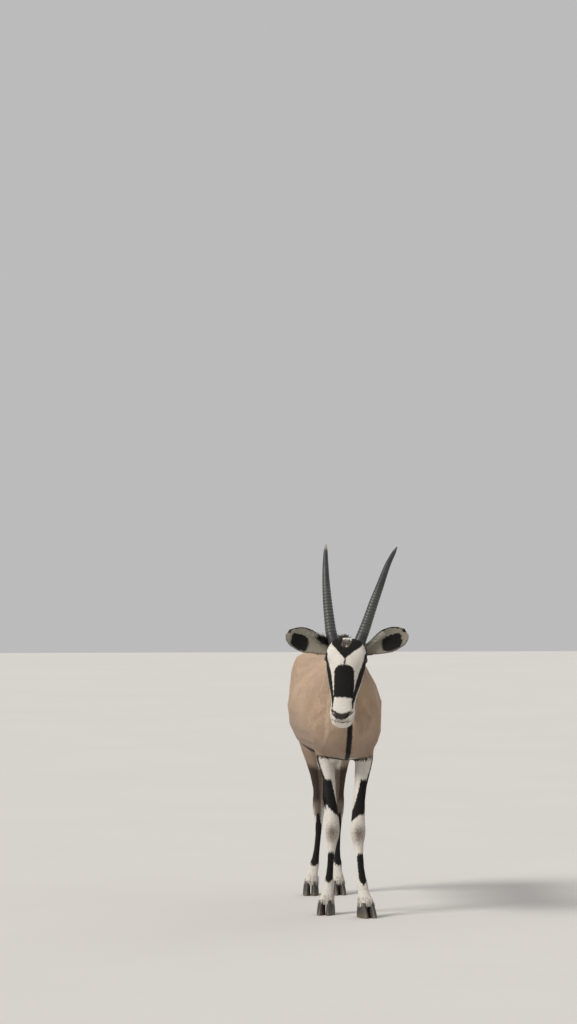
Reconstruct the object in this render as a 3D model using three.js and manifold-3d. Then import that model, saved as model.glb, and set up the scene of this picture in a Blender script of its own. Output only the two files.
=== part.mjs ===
// A still, life-size gemsbok standing square and looking ahead.
// Lengths are in millimetres, +Z is up, the animal faces -Y and +X is its left side.
// The body is modelled whole from lofted forms and then parted with thin saw cuts into named pieces.
import * as THREE from "three";
import { mergeVertices } from "three/addons/utils/BufferGeometryUtils.js";
import Module from "manifold-3d";

const wasm = await Module();
wasm.setup();

// Driving sizes
const SAW_GAP = 0.3;
const TORSO_AROUND = 24;
const NECK_AROUND = 24;
const HEAD_AROUND = 28;
const LEG_AROUND = 14;
const TAIL_AROUND = 10;
const HORN_AROUND = 10;

// Torso stations from chest to buttock: x, y, z of the widest line, half width, height above it,
// depth below it, squareness above, squareness below
const TORSO = [
  [0, -212, 874, 14, 16, 16, 2, 2],
  [0, -203, 876, 58, 56, 54, 2, 2],
  [0, -180, 881, 102, 98, 100, 2, 2],
  [0, -135, 890, 133, 140, 148, 2, 2.3],
  [0, -60, 895, 149, 185, 188, 2, 2.5],
  [0, 20, 897, 158, 226, 210, 2, 2.7],
  [0, 110, 897, 167, 250, 213, 2, 2.6],
  [0, 220, 895, 181, 240, 212, 2, 2.5],
  [0, 340, 893, 198, 232, 211, 2, 2.5],
  [0, 460, 893, 208, 229, 208, 2.1, 2.5],
  [0, 570, 900, 207, 224, 196, 2.3, 2.4],
  [0, 670, 918, 190, 214, 172, 2.9, 2.3],
  [0, 760, 942, 177, 204, 160, 4.0, 2.2],
  [0, 850, 964, 167, 185, 154, 4.4, 2.2],
  [0, 930, 974, 149, 149, 134, 3.2, 2.2],
  [0, 980, 974, 114, 100, 106, 2.4, 2.2],
  [0, 1008, 970, 68, 58, 66, 2, 2],
  [0, 1019, 968, 18, 16, 18, 2, 2],
];

// Neck stations from inside the chest to the back of the head
const NECK = [
  [0, -48, 872, 70, 90, 80, 2, 2],
  [0, -62, 905, 122, 176, 124, 2, 2],
  [-2, -84, 952, 130, 206, 142, 2, 2.1],
  [-6, -118, 1008, 117, 208, 144, 2, 2.1],
  [-14, -170, 1066, 95, 152, 138, 2, 2.1],
  [-26, -232, 1124, 80, 104, 110, 2, 2.1],
  [-35, -294, 1163, 71, 74, 80, 2, 2],
  [-40, -330, 1182, 50, 54, 56, 2, 2],
];

// The head's own frame: origin between the eyes, z along the face towards the poll, -y out of the face
const HEAD_AT = [-37, -390, 1155];
const HEAD_PITCH_DEG = -12;
const HEAD_ROLL_DEG = 3;
const HEAD_YAW_DEG = -9.5;
// Head stations from the lips to the poll, with the front depth and back depth instead of up and down
const HEAD = [
  [0, -14, -303, 12, 10, 12, 2, 2],
  [0, -14, -297, 29, 24, 27, 2, 2],
  [0, -13, -280, 44, 39, 36, 2.2, 2.2],
  [0, -12, -258, 52, 46, 41, 2.4, 2.2],
  [0, -12, -232, 54.5, 48, 43, 2.5, 2.2],
  [0, -11, -203, 52, 48.5, 45, 2.4, 2.2],
  [0, -8, -165, 56, 52, 52, 2.3, 2.2],
  [0, 0, -122, 65, 62, 63, 2.2, 2.2],
  [0, 12, -80, 73, 76, 77, 2.2, 2.2],
  [0, 20, -40, 78, 84, 88, 2.2, 2.2],
  [0, 22, 0, 79, 83, 88, 2.3, 2.2],
  [0, 20, 34, 80, 73, 78, 2.4, 2.2],
  [0, 19, 64, 72, 55, 64, 2.4, 2.2],
  [0, 20, 86, 52, 32, 42, 2.2, 2.2],
  [0, 22, 97, 18, 12, 14, 2, 2],
];

// Eyes in the head's frame
const EYE_AT = [72, -14, 0];
const EYE_RADIUS = 19;
const EYE_SOCKET_RADIUS = EYE_RADIUS + SAW_GAP;
const EYE_AROUND = 16;
const EYE_LEVELS = 10;
// The way the left eye looks, the way its upper lid lies, and the lids' shell and opening
const EYE_LOOKS = [0.87, -0.49, 0.05];
const EYE_UPPER = [0, -0.82, 0.57];
const LID_RADIUS = 21.6;
const LID_AROUND = 16;
const LID_LEVELS = 9;
const OPENING_HALF_LENGTH = 16;
const OPENING_ABOVE = 10;
const OPENING_BELOW = 7.5;
const OPENING_STEPS = 7;

// Swells on the head: middle, reach in x, y and z, and how far the surface is pushed out; both sides
const HEAD_SWELLS = [
  [[76, -12, 12], [30, 38, 44], 13],
  [[78, -20, 0], [22, 24, 24], 5],
  [[62, -40, 28], [24, 18, 24], 5],
  [[64, 62, -40], [34, 40, 46], 8],
  [[58, 10, -95], [18, 26, 46], 3],
  [[40, -42, -246], [16, 18, 16], 5],
  [[24, -34, -292], [22, 20, 12], 3],
  [[48, -14, 80], [20, 20, 16], 8],
];

// Nostrils and the line of the mouth, as places on the head: station height and angle in degrees,
// 90 being the middle of the face and 0 its side
const NOSTRIL = [
  [-262, 66, 3],
  [-254, 58, 5.5],
  [-244, 46, 6],
  [-236, 36, 3.5],
];
const MOUTH_LINE = [
  [-222, -14],
  [-240, -2],
  [-262, 18],
  [-279, 44],
  [-286, 90],
];
const MOUTH_GROOVE = 2.2;

// Horn stations from inside the skull to the tip: x, y, z and radius
const HORN_RIGHT = [
  [-82, -352, 1205, 22],
  [-88, -345, 1234, 23.5],
  [-96, -333, 1265, 23],
  [-102, -306, 1325, 21.5],
  [-106, -280, 1381, 20],
  [-109, -237, 1468, 17],
  [-106, -171, 1585, 11.5],
  [-102, -140, 1636, 7],
  [-100, -128, 1655, 2.5],
];
const HORN_LEFT = [
  [12, -352, 1205, 22],
  [28, -345, 1234, 23.5],
  [43, -332, 1267, 23],
  [66, -306, 1322, 21.5],
  [89, -281, 1381, 20],
  [126, -237, 1467, 17],
  [177, -174, 1580, 11.5],
  [205, -145, 1626, 7],
  [215, -137, 1642, 2.5],
];
const HORN_CUT = 62;
const HORN_RINGS_FROM = 70;
const HORN_RINGS_TO = 330;
const HORN_RING_SPACING = 16;
const HORN_RING_HEIGHT = 1.6;

// Ear stations from root to tip: x, y, z of the middle line, half width, depth of the cup, thickness
const EAR_RIGHT = [
  [-86, -346, 1184, 20, 12, 10],
  [-118, -341, 1194, 22, 16, 8],
  [-150, -338, 1208, 34, 20, 6.5],
  [-188, -334, 1229, 52, 20, 5],
  [-226, -331, 1243, 54, 14, 4.2],
  [-256, -330, 1253, 46, 7, 3.6],
  [-276, -330, 1264, 34, 2, 2.8],
  [-288, -330, 1273, 17, 1, 2.2],
];
const EAR_LEFT = [
  [6, -346, 1176, 20, 12, 10],
  [38, -342, 1185, 20, 16, 8],
  [70, -339, 1198, 27, 19, 7],
  [104, -336, 1213, 40, 21, 6],
  [140, -334, 1230, 52, 19, 5],
  [176, -331, 1244, 53, 14, 4.2],
  [204, -330, 1254, 46, 8, 3.6],
  [224, -330, 1264, 34, 3, 2.8],
  [236, -330, 1272, 17, 1, 2.2],
];
const EAR_ACROSS = 8;
const EAR_FACING = [0, -1, 0.12];

// Foreleg stations from inside the shoulder to the coronet, for the right leg and the left leg
const FORELEG_RIGHT = [
  [-84, 84, 900, 40, 70, 84, 2, 2],
  [-92, 82, 840, 48, 78, 104, 2, 2],
  [-92, 78, 785, 49, 74, 104, 2, 2],
  [-88, 72, 735, 45, 62, 86, 2, 2],
  [-83, 67, 690, 39, 49, 60, 2, 2],
  [-74, 64, 640, 33, 40, 45, 2, 2],
  [-63, 62, 580, 26, 32, 36, 2, 2],
  [-58, 60, 520, 25, 29, 31, 2, 2],
  [-54, 58, 460, 27.5, 28, 28, 2, 2],
  [-54, 57, 420, 32, 30, 27, 2.2, 2],
  [-54, 57, 382, 35, 32, 28, 2.4, 2],
  [-54, 58, 345, 31.5, 29, 27, 2.3, 2],
  [-55, 60, 315, 23, 22, 24, 2, 2],
  [-58, 63, 270, 17.5, 18, 21, 2, 2],
  [-62, 66, 215, 16, 17, 20, 2, 2],
  [-65, 69, 170, 19, 19, 24, 2, 2],
  [-67, 70, 138, 25, 24, 30, 2, 2],
  [-70, 64, 112, 24.5, 22, 26, 2, 2],
  [-76, 54, 86, 29, 25, 27, 2.2, 2.2],
  [-81, 46, 68, 34, 29, 31, 2.4, 2.4],
  [-84, 41, 55, 36, 31, 33, 2.4, 2.4],
];
const FORELEG_LEFT = [
  [84, 84, 900, 40, 70, 84, 2, 2],
  [92, 80, 840, 48, 78, 104, 2, 2],
  [92, 73, 785, 49, 74, 104, 2, 2],
  [89, 62, 735, 45, 62, 86, 2, 2],
  [88, 48, 690, 42, 49, 60, 2, 2],
  [80, 33, 640, 36.5, 40, 45, 2, 2],
  [70, 18, 580, 30.5, 33, 36, 2, 2],
  [63, 5, 520, 29, 30, 31, 2, 2],
  [57, -6, 460, 30, 28, 28, 2, 2],
  [55, -12, 420, 33, 30, 27, 2.2, 2],
  [54, -16, 382, 36, 32, 28, 2.4, 2],
  [54, -20, 345, 32.5, 29, 27, 2.3, 2],
  [56, -25, 315, 23.5, 22, 24, 2, 2],
  [60, -33, 270, 18, 18, 21, 2, 2],
  [64, -42, 215, 16.5, 17, 20, 2, 2],
  [68, -49, 170, 19.5, 19, 24, 2, 2],
  [71, -55, 138, 25.5, 24, 30, 2, 2],
  [73, -64, 112, 25, 22, 26, 2, 2],
  [78, -78, 86, 29, 25, 27, 2.2, 2.2],
  [82, -88, 68, 34, 29, 31, 2.4, 2.4],
  [85, -94, 55, 36, 31, 33, 2.4, 2.4],
];
const HINDLEG_RIGHT = [
  [-68, 836, 1030, 44, 86, 84, 2, 2],
  [-80, 836, 985, 60, 132, 122, 2, 2],
  [-90, 840, 930, 70, 154, 146, 2, 2],
  [-95, 845, 870, 70, 156, 152, 2, 2],
  [-94, 844, 810, 63, 146, 136, 2, 2],
  [-86, 846, 750, 55, 126, 112, 2, 2],
  [-73, 856, 690, 47, 98, 86, 2, 2],
  [-58, 876, 630, 39, 74, 68, 2, 2],
  [-45, 906, 568, 31, 55, 57, 2, 2],
  [-34, 946, 500, 24.5, 39, 47, 2, 2],
  [-30, 980, 448, 25, 33, 45, 2, 2],
  [-27, 999, 405, 26, 33, 35, 2, 2],
  [-24, 1005, 365, 23.5, 29, 26, 2, 2],
  [-23, 1005, 325, 18, 23, 23, 2, 2],
  [-28, 998, 270, 15.5, 19, 20, 2, 2],
  [-35, 985, 210, 15.5, 18, 20, 2, 2],
  [-42, 972, 170, 18, 20, 24, 2, 2],
  [-48, 962, 140, 24, 24, 29, 2, 2],
  [-55, 948, 112, 23.5, 22, 26, 2, 2],
  [-62, 932, 86, 28, 24, 26, 2.2, 2.2],
  [-67, 920, 68, 32, 28, 30, 2.4, 2.4],
  [-69, 914, 55, 34, 30, 32, 2.4, 2.4],
];
const HINDLEG_LEFT = [
  [68, 836, 1030, 44, 86, 84, 2, 2],
  [80, 836, 985, 60, 132, 122, 2, 2],
  [90, 840, 930, 70, 154, 146, 2, 2],
  [95, 846, 870, 70, 156, 152, 2, 2],
  [94, 847, 810, 63, 146, 136, 2, 2],
  [87, 852, 750, 55, 126, 112, 2, 2],
  [77, 866, 690, 47, 98, 86, 2, 2],
  [69, 890, 630, 39, 74, 68, 2, 2],
  [67, 922, 568, 31, 55, 57, 2, 2],
  [69, 963, 500, 24.5, 39, 47, 2, 2],
  [70, 997, 448, 25, 33, 45, 2, 2],
  [70, 1016, 405, 26, 33, 35, 2, 2],
  [70, 1022, 365, 23.5, 29, 26, 2, 2],
  [69, 1022, 325, 18, 23, 23, 2, 2],
  [66, 1014, 270, 15.5, 19, 20, 2, 2],
  [63, 1001, 210, 15.5, 18, 20, 2, 2],
  [61, 988, 170, 18, 20, 24, 2, 2],
  [60, 978, 140, 24, 24, 29, 2, 2],
  [59, 964, 112, 23.5, 22, 26, 2, 2],
  [59, 948, 86, 28, 24, 26, 2.2, 2.2],
  [59, 936, 68, 32, 28, 30, 2.4, 2.4],
  [59, 930, 55, 34, 30, 32, 2.4, 2.4],
];
// Swells on the torso: shoulder blade, point of the shoulder, upper arm, hip bone, hollow of the flank
// (pressed in) and haunch; both sides
const TORSO_SWELLS = [
  [[128, 84, 985], [60, 64, 110], 7],
  [[128, -70, 880], [60, 56, 66], 8],
  [[150, 60, 800], [60, 84, 66], 9],
  [[134, 742, 1112], [40, 52, 46], 11],
  [[158, 640, 1030], [56, 62, 80], -9],
  [[150, 870, 960], [60, 100, 90], 6],
];
const CORONET_Z = 62;
const FORE_CUT_Z = 672;
const HIND_CUT_Z = 736;
const KNEE_CUT_Z = 436;
const HOCK_CUT_Z = 486;

// Hooves: each is two claws; the foot's middle on the floor and the way it points
const FEET = [
  { name: "front_right", at: [-86, 34], toeOutDeg: 14, length: 108, width: 41, side: -1 },
  { name: "front_left", at: [87, -102], toeOutDeg: 14, length: 108, width: 41, side: 1 },
  { name: "hind_right", at: [-71, 906], toeOutDeg: 8, length: 102, width: 38, side: -1 },
  { name: "hind_left", at: [60, 922], toeOutDeg: 8, length: 102, width: 38, side: 1 },
];
// Claw levels: height, share of the length, share of the width, shift backwards
const CLAW_LEVELS = [
  [0, 1, 1, 0],
  [22, 0.9, 0.96, 5],
  [44, 0.74, 0.88, 12],
  [CORONET_Z - SAW_GAP, 0.62, 0.8, 17],
];
const CLAW_AROUND = 12;
const CLAW_CLEFT = 5;

// Dewclaws behind each fetlock: the fetlock's middle, its back depth, the spread and the length
const DEWCLAWS = [
  { leg: 0, at: [-67, 70], back: 30 },
  { leg: 1, at: [71, -55], back: 30 },
  { leg: 2, at: [-48, 962], back: 29 },
  { leg: 3, at: [60, 978], back: 29 },
];
const DEWCLAW_SPREAD = 13;
const DEWCLAW_TOP_Z = 134;
const DEWCLAW_LENGTH = 24;

const LOCK_STEPS = 3;

// Mane: short flat locks along the top of the neck and withers
const MANE_LINE = [
  [-33, -262, 1226],
  [-28, -182, 1216],
  [-18, -90, 1187],
  [-6, -10, 1150],
  [-1, 40, 1134],
  [0, 90, 1141],
  [0, 118, 1146],
];
const MANE_LOCKS = 20;
const MANE_SUNK = 14;
const MANE_LENGTH = 66;
const MANE_WIDTH = 36;
const MANE_THICKNESS = 9;

// Tail: the dock and the tuft
const TAIL_DOCK = [
  [0, 950, 1062, 20, 18, 18, 2, 2],
  [0, 985, 1072, 23, 20, 20, 2, 2],
  [0, 1015, 1064, 21, 19, 19, 2, 2],
  [1, 1038, 1036, 18, 17, 17, 2, 2],
  [3, 1049, 985, 15, 15, 15, 2, 2],
  [5, 1053, 900, 13, 13, 13, 2, 2],
  [8, 1055, 820, 11.5, 11.5, 11.5, 2, 2],
  [10, 1056, 750, 11, 11, 11, 2, 2],
];
const TAIL_TUFT_CORE = [
  [10, 1056, 765, 10, 10, 10, 2, 2],
  [11, 1057, 725, 15, 15, 15, 2, 2],
  [12, 1058, 660, 19, 18, 18, 2, 2],
  [12, 1058, 600, 16, 15, 15, 2, 2],
  [13, 1057, 560, 5, 5, 5, 2, 2],
];
const TUFT_LOCKS = 13;
const TUFT_TIP_Z = 350;
const TUFT_SPREAD = 20;
const TUFT_LOCK_LENGTH = 215;
const TUFT_LOCK_WIDTH = 24;
const TUFT_LOCK_THICKNESS = 11;
const TUFT_CUT_Z = 756;

// Colours
const TAN = 0xbaa188;
const PALE = 0xd9d3c8;
const BLACK = 0x1f1c19;
const DARK_BROWN = 0x3a2c24;
const HORN_GREY = 0x2b2e30;
const HOOF_GREY = 0x2e2a27;
const EYE_BROWN = 0x1a120d;

// A smooth curve through rows of numbers, spaced by the distance between their first three numbers
function rowCurve(rows) {
  const places = [0];
  for (let i = 1; i < rows.length; i += 1) {
    const [a, b] = [rows[i - 1], rows[i]];
    places.push(places[i - 1] + Math.hypot(b[0] - a[0], b[1] - a[1], b[2] - a[2]));
  }
  const slopes = rows.map((row, i) =>
    row.map((value, k) => {
      const before = i > 0 ? (value - rows[i - 1][k]) / (places[i] - places[i - 1]) : null;
      const after = i < rows.length - 1 ? (rows[i + 1][k] - value) / (places[i + 1] - places[i]) : null;
      if (before === null) return after;
      if (after === null) return before;
      const [lead, lag] = [places[i] - places[i - 1], places[i + 1] - places[i]];
      return (before * lag + after * lead) / (lead + lag);
    }),
  );
  return (place) => {
    let i = 0;
    while (i < rows.length - 2 && place > places[i + 1]) i += 1;
    const span = places[i + 1] - places[i];
    const t = Math.min(1, Math.max(0, (place - places[i]) / span));
    const [t2, t3] = [t * t, t * t * t];
    return rows[i].map(
      (value, k) =>
        (2 * t3 - 3 * t2 + 1) * value +
        (t3 - 2 * t2 + t) * span * slopes[i][k] +
        (3 * t2 - 2 * t3) * rows[i + 1][k] +
        (t3 - t2) * span * slopes[i + 1][k],
    );
  };
}

// Where the rings of a loft stand: a number of steps between each pair of stations
function ringPlaces(rows, steps) {
  const places = [];
  let start = 0;
  for (let i = 1; i < rows.length; i += 1) {
    const [a, b] = [rows[i - 1], rows[i]];
    const span = Math.hypot(b[0] - a[0], b[1] - a[1], b[2] - a[2]);
    for (let k = 0; k < steps; k += 1) places.push(start + (span * k) / steps);
    start += span;
  }
  places.push(start);
  return places;
}

// The place and directions of a loft's section: middle, along, across and up
function frameAt(curve, place, upHint) {
  const row = curve(place);
  const [ahead, behind] = [curve(place + 1), curve(place - 1)];
  const middle = new THREE.Vector3(row[0], row[1], row[2]);
  const along = new THREE.Vector3(ahead[0] - behind[0], ahead[1] - behind[1], ahead[2] - behind[2]).normalize();
  const across = new THREE.Vector3().crossVectors(along, upHint).normalize();
  const up = new THREE.Vector3().crossVectors(across, along).normalize();
  return { row, middle, along, across, up };
}

// A point on a section's edge at an angle from the across direction
function edgePoint(frame, angle) {
  const [side, above, below, squareAbove, squareBelow] = frame.row.slice(3);
  const [c, s] = [Math.cos(angle), Math.sin(angle)];
  const power = 2 / (s >= 0 ? squareAbove : squareBelow);
  const reach = s >= 0 ? above : below;
  return frame.middle
    .clone()
    .addScaledVector(frame.across, side * Math.sign(c) * Math.abs(c) ** power)
    .addScaledVector(frame.up, reach * Math.sign(s) * Math.abs(s) ** power);
}

// A closed body from rings of points, each ring of the same count, with its ends closed by a middle point
function ringBody(rings) {
  const count = rings[0].length;
  const points = rings.flat();
  const faces = [];
  for (let r = 0; r < rings.length - 1; r += 1) {
    for (let k = 0; k < count; k += 1) {
      const [a, b] = [r * count + k, r * count + ((k + 1) % count)];
      const [c, d] = [a + count, b + count];
      faces.push(a, b, d, a, d, c);
    }
  }
  const closeEnd = (ring, first, turned) => {
    const middle = ring.reduce((sum, p) => sum.add(p), new THREE.Vector3()).divideScalar(count);
    points.push(middle);
    const hub = points.length - 1;
    for (let k = 0; k < count; k += 1) {
      const [a, b] = [first + k, first + ((k + 1) % count)];
      if (turned) faces.push(hub, b, a);
      else faces.push(hub, a, b);
    }
  };
  closeEnd(rings[0], 0, true);
  closeEnd(rings[rings.length - 1], (rings.length - 1) * count, false);
  const geometry = new THREE.BufferGeometry();
  geometry.setAttribute("position", new THREE.Float32BufferAttribute(points.flatMap((p) => p.toArray()), 3));
  geometry.setIndex(faces);
  return facingOut(geometry);
}

// The same body with its faces turned to point outwards
function facingOut(geometry) {
  const position = geometry.attributes.position;
  const index = geometry.index.array;
  const [a, b, c] = [new THREE.Vector3(), new THREE.Vector3(), new THREE.Vector3()];
  let volume = 0;
  for (let i = 0; i < index.length; i += 3) {
    a.fromBufferAttribute(position, index[i]);
    b.fromBufferAttribute(position, index[i + 1]);
    c.fromBufferAttribute(position, index[i + 2]);
    volume += a.dot(b.cross(c));
  }
  if (volume < 0) {
    for (let i = 0; i < index.length; i += 3) [index[i + 1], index[i + 2]] = [index[i + 2], index[i + 1]];
  }
  return geometry;
}

// A loft through stations
function loft(rows, around, steps, upHint) {
  const curve = rowCurve(rows);
  const rings = ringPlaces(rows, steps).map((place) => {
    const frame = frameAt(curve, place, upHint);
    return Array.from({ length: around }, (_, k) => edgePoint(frame, (2 * Math.PI * k) / around));
  });
  return ringBody(rings);
}

// Soft swells: each pushes the surface out along its normal, mirrored to both sides
function swell(geometry, swells) {
  geometry.computeVertexNormals();
  const [position, normal] = [geometry.attributes.position, geometry.attributes.normal];
  const [point, out] = [new THREE.Vector3(), new THREE.Vector3()];
  for (let i = 0; i < position.count; i += 1) {
    point.fromBufferAttribute(position, i);
    out.fromBufferAttribute(normal, i);
    let push = 0;
    for (const [[x, y, z], [rx, ry, rz], height] of swells) {
      const away = ((Math.abs(point.x) - x) / rx) ** 2 + ((point.y - y) / ry) ** 2 + ((point.z - z) / rz) ** 2;
      push += height * Math.exp(-away);
    }
    point.addScaledVector(out, push);
    position.setXYZ(i, point.x, point.y, point.z);
  }
  return geometry;
}

// A tapered round rod through stations of x, y, z and radius
function rod(rows, around, steps, upHint) {
  return loft(rows.map(([x, y, z, r]) => [x, y, z, r, r, r, 2, 2]), around, steps, upHint);
}

// A horn: a tapered curve with ring ridges on its lower part
function horn(rows) {
  const curve = rowCurve(rows);
  const places = ringPlaces(rows, 1);
  const end = places[places.length - 1];
  const stops = [0, HORN_CUT - 12];
  for (let place = HORN_RINGS_FROM; place < HORN_RINGS_TO; place += HORN_RING_SPACING / 2) stops.push(place);
  for (let k = 0; k <= 7; k += 1) stops.push(HORN_RINGS_TO + ((end - HORN_RINGS_TO) * k) / 7);
  const rings = stops.map((place, i) => {
    const frame = frameAt(curve, place, FORWARD);
    const ridged = place >= HORN_RINGS_FROM && place < HORN_RINGS_TO && i % 2 === 0;
    const reach = frame.row[3] + (ridged ? HORN_RING_HEIGHT : 0);
    return Array.from({ length: HORN_AROUND }, (_, k) => {
      const angle = (2 * Math.PI * k) / HORN_AROUND;
      return frame.middle
        .clone()
        .addScaledVector(frame.across, reach * Math.cos(angle))
        .addScaledVector(frame.up, reach * Math.sin(angle));
    });
  });
  return ringBody(rings);
}

// A seeded draw between -1 and 1
function drawsFrom(seed) {
  let state = seed;
  return () => {
    state = (state * 16807) % 2147483647;
    return (2 * state) / 2147483647 - 1;
  };
}

// A flat tapered lock of hair along a bending line: root, tip, the way it bends and the way its face looks
function lock(root, tip, bend, face, width, thickness) {
  const rings = [];
  for (let i = 0; i <= LOCK_STEPS; i += 1) {
    const t = i / LOCK_STEPS;
    const middle = root.clone().lerp(tip, t).addScaledVector(bend, 4 * t * (1 - t));
    const along = tip.clone().sub(root).addScaledVector(bend, 4 * (1 - 2 * t)).normalize();
    const across = new THREE.Vector3().crossVectors(along, face).normalize();
    const out = new THREE.Vector3().crossVectors(across, along).normalize();
    const share = i === LOCK_STEPS ? 0.1 : 1 - 0.55 * t * t - 0.25 * t;
    rings.push([
      middle.clone().addScaledVector(across, (width / 2) * share),
      middle.clone().addScaledVector(out, (thickness / 2) * share),
      middle.clone().addScaledVector(across, (-width / 2) * share),
      middle.clone().addScaledVector(out, (-thickness / 2) * share),
    ]);
  }
  return solidOf(ringBody(rings));
}

// The mane: overlapping locks that rise from the neck's top line and lean back
function maneLocks() {
  const draw = drawsFrom(71);
  const curve = rowCurve(MANE_LINE);
  const end = ringPlaces(MANE_LINE, 1).pop();
  return Array.from({ length: MANE_LOCKS }, (_, i) => {
    const t = i / (MANE_LOCKS - 1);
    const root = new THREE.Vector3(...curve(end * t));
    root.add(new THREE.Vector3((i % 2 === 0 ? 5 : -5) + 2 * draw(), 0, -MANE_SUNK));
    const length = MANE_LENGTH * (1 - 0.3 * t + 0.14 * draw());
    const lean = new THREE.Vector3((i % 2 === 0 ? 0.16 : -0.16) + 0.06 * draw(), 0.78, 0.46 - 0.18 * t).normalize();
    const tip = root.clone().addScaledVector(lean, length);
    return lock(root, tip, new THREE.Vector3(0, -4, 5), new THREE.Vector3(1, 0.1, 0), MANE_WIDTH, MANE_THICKNESS);
  });
}

// The tail's tuft: overlapping locks that leave a short core and hang to a loose point
function tuftLocks() {
  const draw = drawsFrom(137);
  const golden = Math.PI * (3 - Math.sqrt(5));
  return Array.from({ length: TUFT_LOCKS }, (_, i) => {
    const t = i / (TUFT_LOCKS - 1);
    const angle = golden * i;
    const side = new THREE.Vector3(Math.cos(angle), Math.sin(angle), 0);
    const rootZ = 742 - 165 * t;
    const root = new THREE.Vector3(12, 1057, rootZ).addScaledVector(side, 6);
    const tipZ = Math.max(TUFT_TIP_Z, rootZ - TUFT_LOCK_LENGTH * (1 + 0.12 * draw()));
    const tipSpread = TUFT_SPREAD * (0.75 - 0.45 * t);
    const tip = new THREE.Vector3(13, 1055, tipZ).addScaledVector(side, tipSpread);
    const bend = side.clone().multiplyScalar(9 + 2 * draw());
    return lock(root, tip, bend, side, TUFT_LOCK_WIDTH, TUFT_LOCK_THICKNESS);
  });
}

// Dewclaws: two small pointed claws behind a fetlock
function dewclaws({ at, back }) {
  return [-1, 1].map((side) =>
    solidOf(
      rod(
        [
          [at[0] + side * (DEWCLAW_SPREAD - 3), at[1] + back - 12, DEWCLAW_TOP_Z, 7],
          [at[0] + side * DEWCLAW_SPREAD, at[1] + back, DEWCLAW_TOP_Z - 0.45 * DEWCLAW_LENGTH, 7.5],
          [at[0] + side * (DEWCLAW_SPREAD + 1), at[1] + back + 5, DEWCLAW_TOP_Z - DEWCLAW_LENGTH, 2.5],
        ],
        7,
        1,
        FORWARD,
      ),
    ),
  );
}

// A place on the head's surface: station height and angle, in the head's own frame
function headPlace(curve, height, angleDeg) {
  let place = 0;
  for (let i = 1; i < HEAD.length; i += 1) {
    const [a, b] = [HEAD[i - 1], HEAD[i]];
    const span = Math.hypot(b[0] - a[0], b[1] - a[1], b[2] - a[2]);
    if (height <= b[2]) {
      place += (span * (height - a[2])) / (b[2] - a[2]);
      break;
    }
    place += span;
  }
  const frame = frameAt(curve, place, FORWARD);
  const point = edgePoint(frame, THREE.MathUtils.degToRad(angleDeg));
  return { point, out: point.clone().sub(frame.middle).normalize() };
}

// Nostrils: a curved hollow on each side of the nose
function nostrils() {
  const curve = rowCurve(HEAD);
  return [0, 1].map((mirrored) => {
    const rows = NOSTRIL.map(([height, angle, radius]) => {
      const { point, out } = headPlace(curve, height, mirrored ? 180 - angle : angle);
      point.addScaledVector(out, 3);
      return [...point.toArray(), radius];
    });
    return solidOf(rod(rows, 7, 1, UP).applyMatrix4(placeHead));
  });
}

// The line of the mouth: a groove from one corner round the lips to the other
function mouthGroove() {
  const curve = rowCurve(HEAD);
  const rest = MOUTH_LINE.slice(0, -1).reverse().map(([height, angle]) => [height, 180 - angle]);
  const rows = [...MOUTH_LINE, ...rest].map(([height, angle], i, all) => {
    const { point } = headPlace(curve, height, angle);
    const atCorner = i === 0 || i === all.length - 1;
    return [...point.toArray(), atCorner ? MOUTH_GROOVE * 0.5 : MOUTH_GROOVE];
  });
  return solidOf(rod(rows, 5, 2, UP).applyMatrix4(placeHead));
}

// The eye's own directions: where it looks, its upper lid's side and the line between its corners
function eyeDirections(side) {
  const looks = new THREE.Vector3(side * EYE_LOOKS[0], EYE_LOOKS[1], EYE_LOOKS[2]).normalize();
  const upper = new THREE.Vector3(side * EYE_UPPER[0], EYE_UPPER[1], EYE_UPPER[2]);
  upper.addScaledVector(looks, -upper.dot(looks)).normalize();
  return { looks, upper, corner: new THREE.Vector3().crossVectors(upper, looks) };
}

// The lids: a thin dome over the eyeball
function lidDome(side) {
  const { looks } = eyeDirections(side);
  const dome = new THREE.SphereGeometry(LID_RADIUS, LID_AROUND, LID_LEVELS);
  dome.applyQuaternion(new THREE.Quaternion().setFromUnitVectors(UP, looks));
  dome.translate(side * EYE_AT[0], EYE_AT[1], EYE_AT[2]);
  return solidOf(dome.applyMatrix4(placeHead));
}

// The opening between the lids: an almond pushed out through the dome
function lidOpening(side) {
  const { looks, upper, corner } = eyeDirections(side);
  const edge = (share, rise) => [OPENING_HALF_LENGTH * share, rise * (1 - share * share) ** 0.8];
  const almond = new THREE.Shape();
  for (let i = 0; i < 2 * OPENING_STEPS; i += 1) {
    const turn = i < OPENING_STEPS ? i : 2 * OPENING_STEPS - i;
    const share = -1 + (2 * turn) / OPENING_STEPS;
    const [x, y] = edge(share, i < OPENING_STEPS ? -OPENING_BELOW : OPENING_ABOVE);
    if (i === 0) almond.moveTo(x, y);
    else almond.lineTo(x, y);
  }
  almond.closePath();
  const prism = new THREE.ExtrudeGeometry(almond, { depth: LID_RADIUS, bevelEnabled: false });
  const place = new THREE.Matrix4().makeBasis(corner, upper, looks);
  place.setPosition(side * EYE_AT[0], EYE_AT[1], EYE_AT[2]);
  return solidOf(prism.applyMatrix4(place).applyMatrix4(placeHead));
}

// Solids and meshes
function solidOf(geometry) {
  const bare = geometry.clone();
  bare.deleteAttribute("normal");
  bare.deleteAttribute("uv");
  const merged = mergeVertices(bare, 1e-4);
  return new wasm.Manifold(
    new wasm.Mesh({
      numProp: 3,
      vertProperties: new Float32Array(merged.attributes.position.array),
      triVerts: new Uint32Array(merged.index.array),
    }),
  );
}

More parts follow.
